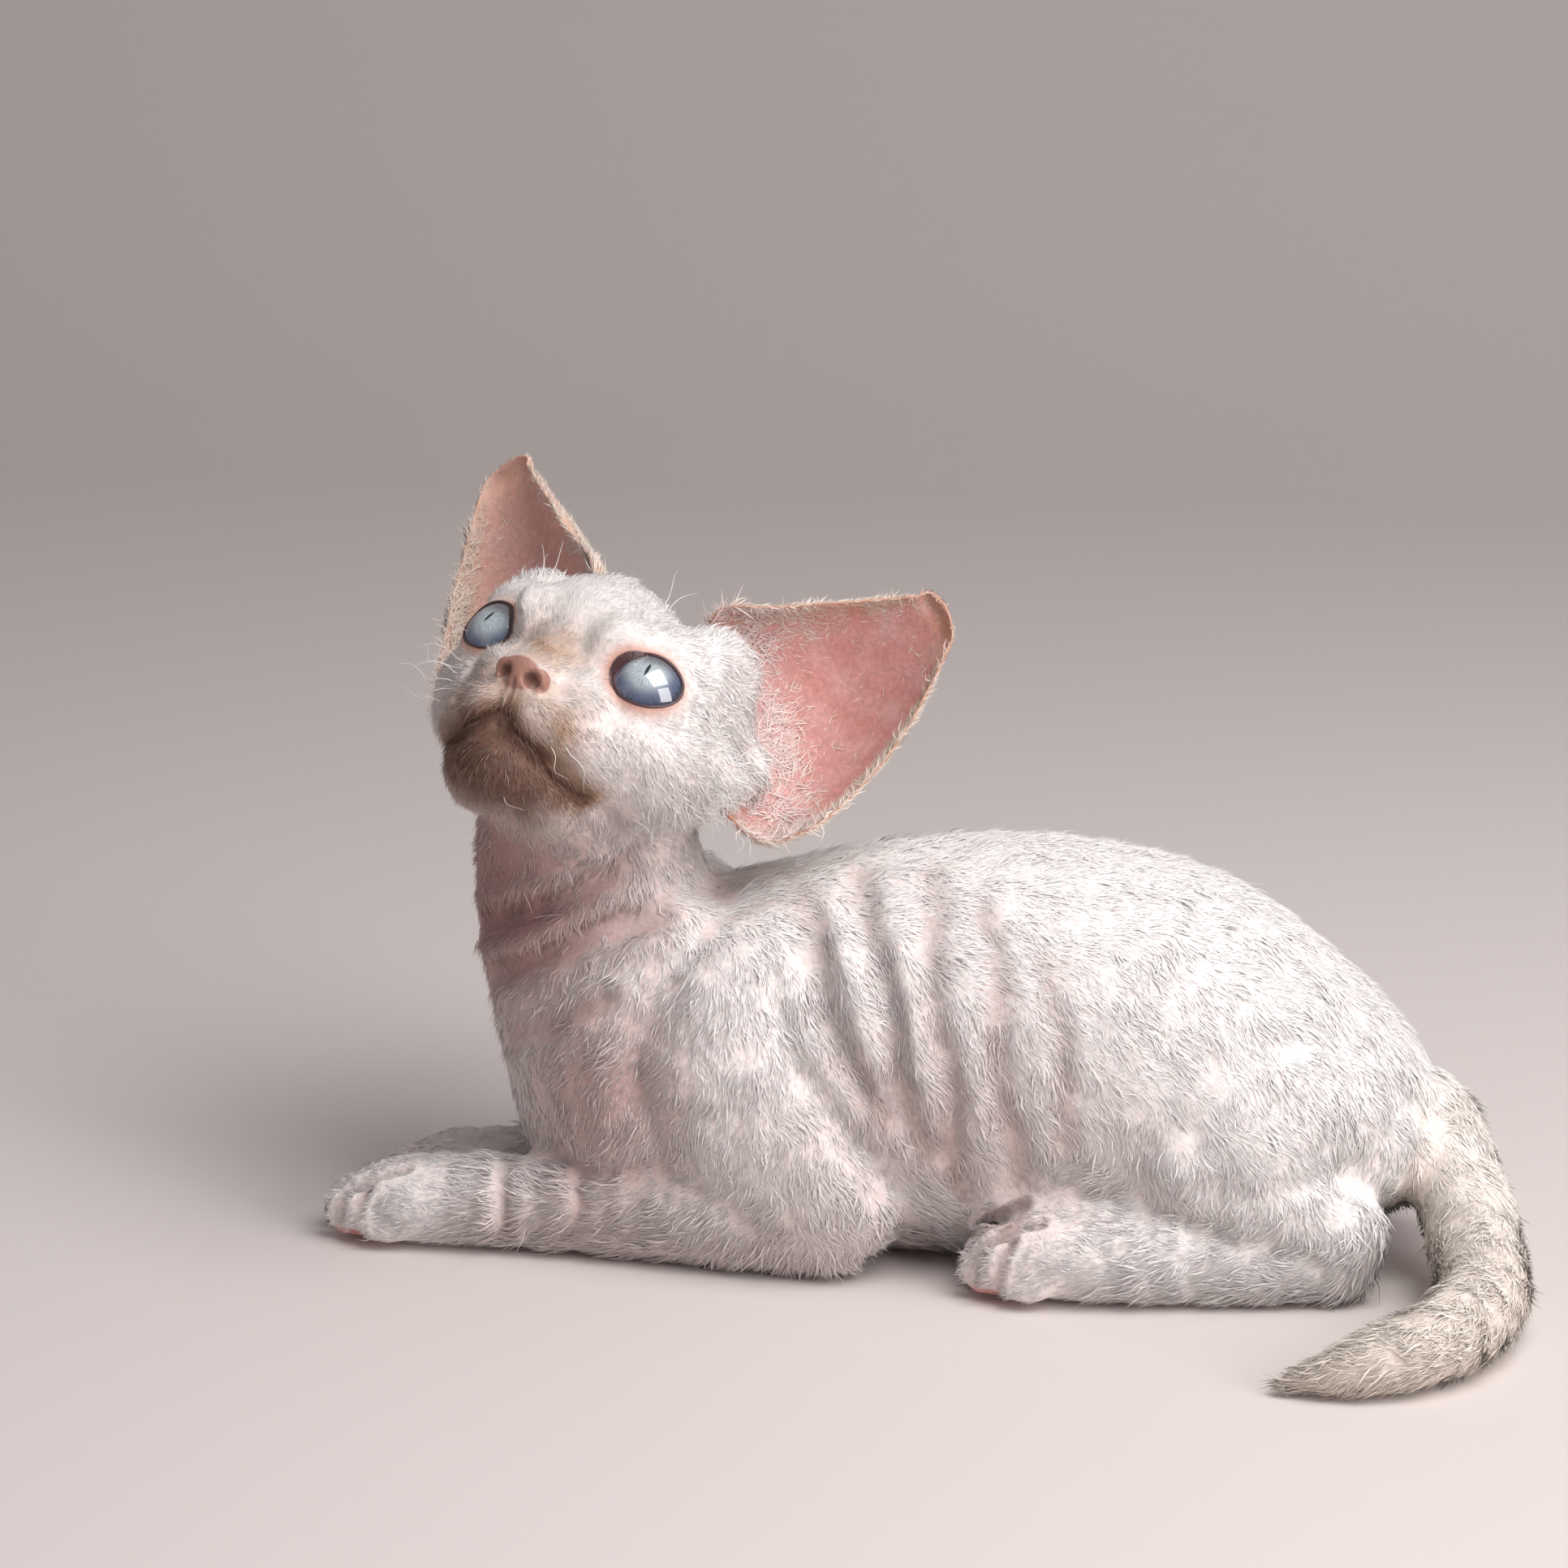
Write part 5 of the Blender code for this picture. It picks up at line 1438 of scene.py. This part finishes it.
def ring_triangles(rings, sides, closed=False):
    """Triangles between neighbouring rings of as many sides; closed joins the last ring to the first."""
    i, j = np.mgrid[0 : rings if closed else rings - 1, 0:sides]
    a, b = i * sides + j, i * sides + (j + 1) % sides
    c, d = (b + sides) % (rings * sides), (a + sides) % (rings * sides)
    return np.stack([a, b, c, a, c, d], -1).reshape(-1, 3)


# Eyes.

PUPIL = {LEFT: (-0.2, 1.4), RIGHT: (0.55, 0.85)}
PUPIL_SIZE = (0.32, 1.4)
PUPIL_LEAN = 6.5
IRIS_LIGHT = (0.58, 0.66, 0.68)
IRIS_MID = (0.23, 0.27, 0.31)
IRIS_BLUE = (0.08, 0.10, 0.17)
IRIS_RING = (0.015, 0.013, 0.03)
IRIS_SHADE = (0.06, 0.035, 0.04)
# Radii at which the iris turns blue and its ring begins, and the height at which the lid shades it.
BLUE_FROM, RING_FROM, BROW_SHADE = (2.6, 5.6), (5.4, 7.2), (0.2, 3.0)
PUPIL_BLACK = (0.006, 0.006, 0.008)
EYE_BULGE = 0.35
EYE_REACH = math.radians(68)
EYE_SEGMENTS, EYE_RINGS = 64, 34
RIM_OUT, RIM_HIGH, RIM_WIDE = 0.2, 0.22, 0.26
RIM_STEPS, RIM_SIDES = 72, 8
RIM_TONES = (0.035, 0.016, 0.022), (0.10, 0.045, 0.045)
WHISKER_TONES = (0.93, 0.90, 0.86), (0.98, 0.96, 0.94)


def eye_material(side):
    made, tree, shader = nodes_of(named("eye", side))
    split = add_node(tree, "SeparateXYZ", Vector=add_node(tree, "TexCoord").outputs["Object"])

    def calc(operation, *values):
        node = tree.nodes.new("ShaderNodeMath")
        node.operation = operation
        for socket, value in zip(node.inputs, values):
            put(tree, socket, value)
        return node.outputs[0]

    def step(value, low, high, ends=(0.0, 1.0)):
        node = add_node(tree, "MapRange", Value=value, From_Min=low, From_Max=high)
        put_all(tree, node, To_Min=ends[0], To_Max=ends[1])
        node.interpolation_type = "SMOOTHSTEP"
        return node.outputs["Result"]

    def mixed(factor, one, two):
        node = tree.nodes.new("ShaderNodeMix")
        node.data_type = "RGBA"
        put_all(tree, node, Factor=factor)
        colours = [s for s in node.inputs if s.type == "RGBA"]
        for socket, value in zip(colours, (one, two)):
            put(tree, socket, (*value, 1) if isinstance(value, tuple) else value)
        return [s for s in node.outputs if s.type == "RGBA"][0]

    # The pupil's middle lies above the opening's; the slit leans.
    py, pz = (
        calc("SUBTRACT", calc("MULTIPLY", split.outputs[axis], 1000.0), middle)
        for axis, middle in zip("YZ", PUPIL[side])
    )
    lean = math.radians(PUPIL_LEAN)
    ways = ((math.cos(lean), -math.sin(lean), 1.4), (math.sin(lean), math.cos(lean), 2.0))
    parts = []
    for (by_y, by_z, power), size in zip(ways, PUPIL_SIZE):
        along = calc("ADD", calc("MULTIPLY", py, by_y), calc("MULTIPLY", pz, by_z))
        parts.append(calc("POWER", calc("ABSOLUTE", calc("DIVIDE", along, size)), power))
    pupil = step(calc("ADD", *parts), 0.75, 1.25, (1.0, 0.0))
    radius = calc("SQRT", calc("ADD", calc("MULTIPLY", py, py), calc("MULTIPLY", pz, pz)))
    turn = calc("MULTIPLY", calc("ARCTAN2", py, pz), 5.5)
    spokes = add_node(tree, "CombineXYZ", X=turn, Y=calc("MULTIPLY", radius, 0.28)).outputs["Vector"]
    streak = add_node(tree, "TexNoise", Scale=3.2, Detail=5.0, Roughness=0.7, Distortion=0.6, Vector=spokes)
    uneven = calc("SUBTRACT", streak.outputs["Fac"], 0.5)
    edge = calc("ADD", radius, calc("MULTIPLY", uneven, 3.2))
    shade = step(calc("ADD", pz, uneven), *BROW_SHADE)
    colour = mixed(step(streak.outputs["Fac"], 0.35, 0.65), IRIS_MID, IRIS_LIGHT)
    colour = mixed(step(edge, *BLUE_FROM), colour, IRIS_BLUE)
    colour = mixed(step(edge, *RING_FROM), colour, IRIS_RING)
    colour = mixed(calc("MULTIPLY", shade, 0.75), colour, IRIS_SHADE)
    colour = mixed(pupil, colour, PUPIL_BLACK)
    put_all(tree, shader, Base_Color=colour, Roughness=0.35, Specular_IOR_Level=0.3)
    put_all(tree, shader, Coat_Weight=1.0, Coat_Roughness=0.02, Coat_IOR=1.8)
    return made


def make_eye(side):
    """The visible part of one eyeball with its clear bulge, in the eye's own frame."""
    segments, rings = EYE_SEGMENTS, EYE_RINGS
    theta = (EYE_REACH * np.arange(1, rings + 1) / rings)[:, None]
    phi = math.tau * np.arange(segments) / segments
    radius = EYE_RADIUS + EYE_BULGE * np.exp(-((theta / math.radians(30)) ** 2))
    ring = radius * np.sin(theta)
    shell = np.stack(np.broadcast_arrays(radius * np.cos(theta), ring * np.cos(phi), ring * np.sin(phi)), -1)
    ends = [(EYE_RADIUS + EYE_BULGE, 0, 0), (EYE_RADIUS * math.cos(EYE_REACH), 0, 0)]
    vertices = np.vstack([shell.reshape(-1, 3), ends])
    k = np.arange(segments)
    n, pole, last = (k + 1) % segments, rings * segments, (rings - 1) * segments
    front = np.stack([k * 0 + pole, k, n], 1)
    back = np.stack([last + k, k * 0 + pole + 1, last + n], 1)
    triangles = np.vstack([front, ring_triangles(rings, segments)[:, ::-1], back])
    mesh = bpy.data.meshes.new(named("eye", side) + "_detail")
    mesh.from_pydata((vertices * MM).tolist(), [], triangles.tolist())
    mesh.shade_smooth()
    obj = linked(mesh.name, mesh)
    frame_matrix = gaze(side)
    obj.matrix_world = Matrix.Translation(row(frame_matrix.translation)) @ frame_matrix.to_3x3().to_4x4()
    mesh.materials.append(eye_material(side))
    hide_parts(named("eye", side))
    filed(obj)


def lid_rim(side):
    """The dark edge of the lids, a thin closed tube round the opening."""
    frame_matrix = gaze(side)
    steps, sides = RIM_STEPS, RIM_SIDES
    middle = []
    for turn in math.tau * np.arange(steps) / steps:
        direction = Vector((0, math.cos(turn), math.sin(turn)))
        reach = EYE_OPENING[0] / 2
        for _ in range(12):
            reach -= float(almond(reach * direction.y, reach * direction.z))
        reach -= 0.05
        depth = math.sqrt((EYE_RADIUS + RIM_OUT) ** 2 - reach**2)
        middle.append(Vector((depth, reach * direction.y, reach * direction.z)))
    vertices = []
    for k, p in enumerate(middle):
        out = p.normalized()
        across = (middle[(k + 1) % steps] - middle[k - 1]).normalized().cross(out)
        heavy = 1 + 0.5 * max(0.0, p.z / 5)
        for turn in math.tau * np.arange(sides) / sides:
            offset = (out * math.cos(turn) * RIM_HIGH + across * math.sin(turn) * RIM_WIDE) * heavy
            vertices.append(np.array(frame_matrix @ (p + offset)))
    obj = mesh_object(named("lid_rim", side), np.array(vertices), ring_triangles(steps, sides, closed=True))
    obj.data.materials.append(speckled_material("lid_rim", 700.0, *RIM_TONES, 0.3))
    filed(obj)


# Whiskers and single hairs.


def hair_tube(points, thick, sides):
    """A thin tapering tube along points: (vertices, triangles)."""
    line = smooth_rows(points, 5)
    count = len(line)
    padded = np.vstack([line[:1], line, line[-1:]])
    ahead = unit(padded[2:] - padded[:-2])
    across = unit(np.cross(ahead, (0.3, 0.5, 0.81)))
    over = np.cross(ahead, across)
    radius = thick * (1 - 0.85 * np.linspace(0, 1, count)) / 2
    turn = (math.tau * np.arange(sides) / sides)[:, None]
    rings = across[:, None] * np.cos(turn) + over[:, None] * np.sin(turn)
    vertices = (line[:, None] + rings * radius[:, None, None]).reshape(-1, 3)
    k = np.arange(1, sides - 1)
    cap = np.stack([k * 0, k + 1, k], 1)
    return vertices, np.vstack([ring_triangles(count, sides), cap, cap[:, ::-1] + (count - 1) * sides])


def strand(root, way, length, curl, turns, phase):
    """Points of a hair that starts at root, runs along way and swings sideways by curl."""
    way = unit(np.array(way, float))
    across = unit(np.cross(way, (0.31, 0.47, 0.83)))
    t = np.linspace(0, 1, 8)[:, None]
    turn = math.tau * turns * t + phase
    return root + way * length * t + curl * t * (across * np.sin(turn) + np.cross(way, across) * np.cos(turn))


def hair_object(name, strands, sides=5):
    """All strands, given as (points, thickness), in one mesh."""
    vertices, triangles, count = [], [], 0
    for points, thick in strands:
        v, t = hair_tube(points, thick, sides)
        vertices.append(v)
        triangles.append(t + count)
        count += len(v)
    obj = mesh_object(name, np.concatenate(vertices), np.concatenate(triangles))
    obj.data.materials.append(speckled_material("whisker", 300.0, *WHISKER_TONES, 0.35))
    filed(obj)


# Long hairs as (root in the head frame, direction, length, curl, turns, phase, thickness).
WHISKERS_FAR = [
    ((-1, -18, -8), (-0.25, -1, 0.1), 14, 1.9, 0.9, 0.2, 0.24),
    ((-1, -18.5, -9.5), (-0.2, -1, -0.15), 15, 2.0, 1.0, 1.1, 0.24),
    ((-2, -18.5, -11), (-0.2, -1, 0.3), 13, 1.8, 1.0, 2.3, 0.24),
    ((-2, -18, -12.5), (-0.25, -1, 0.0), 14, 1.7, 1.2, 3.0, 0.24),
    ((-2, -18, -14), (-0.25, -1, -0.3), 12, 2.0, 0.8, 4.0, 0.22),
    ((-1, -17, -7), (-0.2, -0.8, 0.6), 10, 1.5, 1.0, 5.0, 0.22),
    ((-3, -18, -16), (-0.3, -1, -0.2), 9, 1.8, 1.2, 0.6, 0.2),
]
WHISKERS_NEAR = [
    ((4, 12.5, -19), (-0.5, 0.75, -0.5), 9, 1.5, 0.9, 0.5, 0.16),
    ((5, 10.5, -20.5), (-0.5, 0.6, -0.65), 7, 1.3, 1.1, 2.0, 0.15),
    ((2, 14, -17.5), (-0.6, 0.8, -0.2), 8, 1.4, 1.0, 3.4, 0.16),
    ((3, 12, -16.5), (-0.5, 0.85, 0.1), 7, 1.1, 1.2, 4.5, 0.15),
]
BROW_HAIRS = [
    ((0, -13, 12), (0.05, 0, 1), 10, 1.0, 0.5, 0.4, 0.2),
    ((0, -14, 11.8), (0, -0.4, 1), 9.5, 1.0, 0.5, 1.4, 0.18),
    ((0, -13.5, 12), (0.1, -0.2, 1), 7.5, 1.2, 0.6, 2.6, 0.18),
    ((0, -15.5, 11), (0, -0.9, 1), 6, 0.9, 0.7, 3.6, 0.16),
    ((-10, 7, 20.5), (0.1, 0.0, 1), 7.5, 1.0, 0.5, 0.9, 0.16),
    ((-10, 8.5, 20.5), (0, 0.5, 1), 6.5, 1.1, 0.5, 2.2, 0.16),
]
CHIN_HAIRS = [
    ((1, 5, -32), (0, 0.9, -0.5), 6, 1.8, 0.4, 0.3, 0.15),
    ((-14, 22, -27), (-0.2, 0.8, -0.4), 5.5, 1.4, 0.5, 1.5, 0.15),
]


def make_whiskers():
    """Whiskers, brow hairs and the long hairs of the chin, each rooted on the skin."""
    tree = surface_tree(skin)
    strands = []
    for root, way, *form, thick in WHISKERS_FAR + WHISKERS_NEAR + BROW_HAIRS + CHIN_HAIRS:
        start = on_surface(tree, [np.array(HEAD @ Vector(root))])[0]
        strands.append((strand(start, HEAD_ARRAY[:3, :3] @ np.array(way, float), *form), thick))
    hair_object("whiskers", strands)


CURL_SPOT, CURL_SPREAD, CURL_COUNT = (-25, 32, -9), (4, 3.5, 7), 110
CURL_LEAN, CURL_SCATTER = (0.25, 1, -0.1), 0.35
CURL_LENGTH, CURL_TURNS, CURL_SWING, CURL_THICK = (4, 7.5), (0.8, 1.6), (0.6, 1.3), (0.12, 0.18)


def make_curls():
    """The curly tuft that overhangs the lower front of each ear."""
    tree = surface_tree(skin)
    strands = []
    for side in SIDES:
        for _ in range(CURL_COUNT):
            place = np.array(CURL_SPOT) + rng.normal(size=3) * CURL_SPREAD * np.array(0.6)
            start = on_surface(tree, [np.array(head_point(place, side))])[0]
            lean = np.array(CURL_LEAN) + rng.normal(size=3) * CURL_SCATTER
            way = np.array(head_point(lean, side)) - HEAD_ARRAY[:3, 3]
            length, turns = rng.uniform(*CURL_LENGTH), rng.uniform(*CURL_TURNS)
            points = strand(start, way, length, rng.uniform(*CURL_SWING), turns, rng.uniform(0, math.tau))
            strands.append((points, rng.uniform(*CURL_THICK)))
    hair_object("ear_curls", strands, sides=3)


def dress_skin(obj):
    """Gives the skin its colours, its wetness and its material."""
    at = Places(coordinates(obj), normals(obj))
    paint(obj, "tone", skin_colour(at))
    wet = np.maximum(at.nose, (1 - ramp(at.lid, 0.1, 0.8)) * at.face)
    number_layer(obj, "wet", wet)
    obj.data.materials.clear()
    obj.data.materials.append(skin_material())


skin, FOLD_LINES, MOUTH_LINE = make_skin()
EARS = EarMap()
FLOW = Flow()
UNWRAP = Unwrap(skin)
dress_skin(skin)
make_coat(skin, coat_material())
for eye_side in SIDES:
    make_eye(eye_side)
    lid_rim(eye_side)
make_whiskers()
make_curls()


# Stage, light and camera.

FLOOR_TONE = (0.68, 0.62, 0.60)
WORLD_TONE, WORLD_STRENGTH = (0.86, 0.84, 0.86, 1), 0.31
# Area lights as (name, place, aim, size, power in watts, colour); places in metres in the row.
LAMPS = [
    ("window", (0.30, -0.28, 0.74), (-0.02, 0, 0.07), (0.58, 0.58), 6.1, (1.0, 0.985, 0.98)),
    ("right_fill", (0.9, -0.7, 0.4), (0.02, 0, 0.05), (0.6, 0.6), 7.2, (1.0, 0.98, 0.98)),
    ("left_fill", (-0.8, -0.5, 0.3), (-0.05, 0, 0.07), (0.4, 0.6), 0.3, (1.0, 0.85, 0.82)),
]


def camera():
    azimuth, elevation = math.radians(CAMERA_AZIMUTH), math.radians(CAMERA_ELEVATION)
    level = math.cos(elevation)
    away = Vector((math.sin(azimuth) * level, -math.cos(azimuth) * level, math.sin(elevation)))
    data = bpy.data.cameras.new("camera")
    data.lens, data.sensor_width, data.sensor_fit = CAMERA_LENS, CAMERA_SENSOR, "HORIZONTAL"
    data.clip_start, data.clip_end = 0.05, 20
    obj = linked("camera", data)
    obj.location = row(Vector(AIM) + away * CAMERA_DISTANCE)
    obj.rotation_euler = (-away).to_track_quat("-Z", "Y").to_euler()
    bpy.context.scene.camera = obj


def area_light(name, place, aim, size, power, colour):
    data = bpy.data.lights.new(name, "AREA")
    data.shape, data.size, data.size_y = "RECTANGLE", size[0], size[1]
    data.energy, data.color = power, colour
    obj = linked(name, data)
    obj.location = place
    obj.rotation_euler = (Vector(place) - Vector(aim)).to_track_quat("Z", "Y").to_euler()


def stage():
    """A pale floor that sweeps up into a backdrop."""
    half, depth, radius, height = 2.5, 1.3, 0.6, 1.8
    turns = np.radians(90 * np.arange(13) / 12)
    sweep = zip(depth - radius + radius * np.sin(turns), radius - radius * np.cos(turns))
    profile = [(-2.0, 0.0), *sweep, (depth, height)]
    count = len(profile)
    mesh = bpy.data.meshes.new("floor")
    faces = [(k, k + count, k + count + 1, k + 1) for k in range(count - 1)]
    mesh.from_pydata([(x, y, z) for x in (-half, half) for y, z in profile], [], faces)
    mesh.shade_smooth()
    look, tree, shader = nodes_of("floor_paper")
    put_all(tree, shader, Base_Color=(*FLOOR_TONE, 1), Roughness=0.9)
    mesh.materials.append(look)
    linked("floor", mesh)


def world():
    made = bpy.data.worlds.new("studio")
    made.use_nodes = True
    put_all(made.node_tree, made.node_tree.nodes["Background"], Color=WORLD_TONE, Strength=WORLD_STRENGTH)
    bpy.context.scene.world = made


stage()
world()
for lamp in LAMPS:
    area_light(*lamp)
bpy.context.scene.view_settings.view_transform = "Standard"
camera()
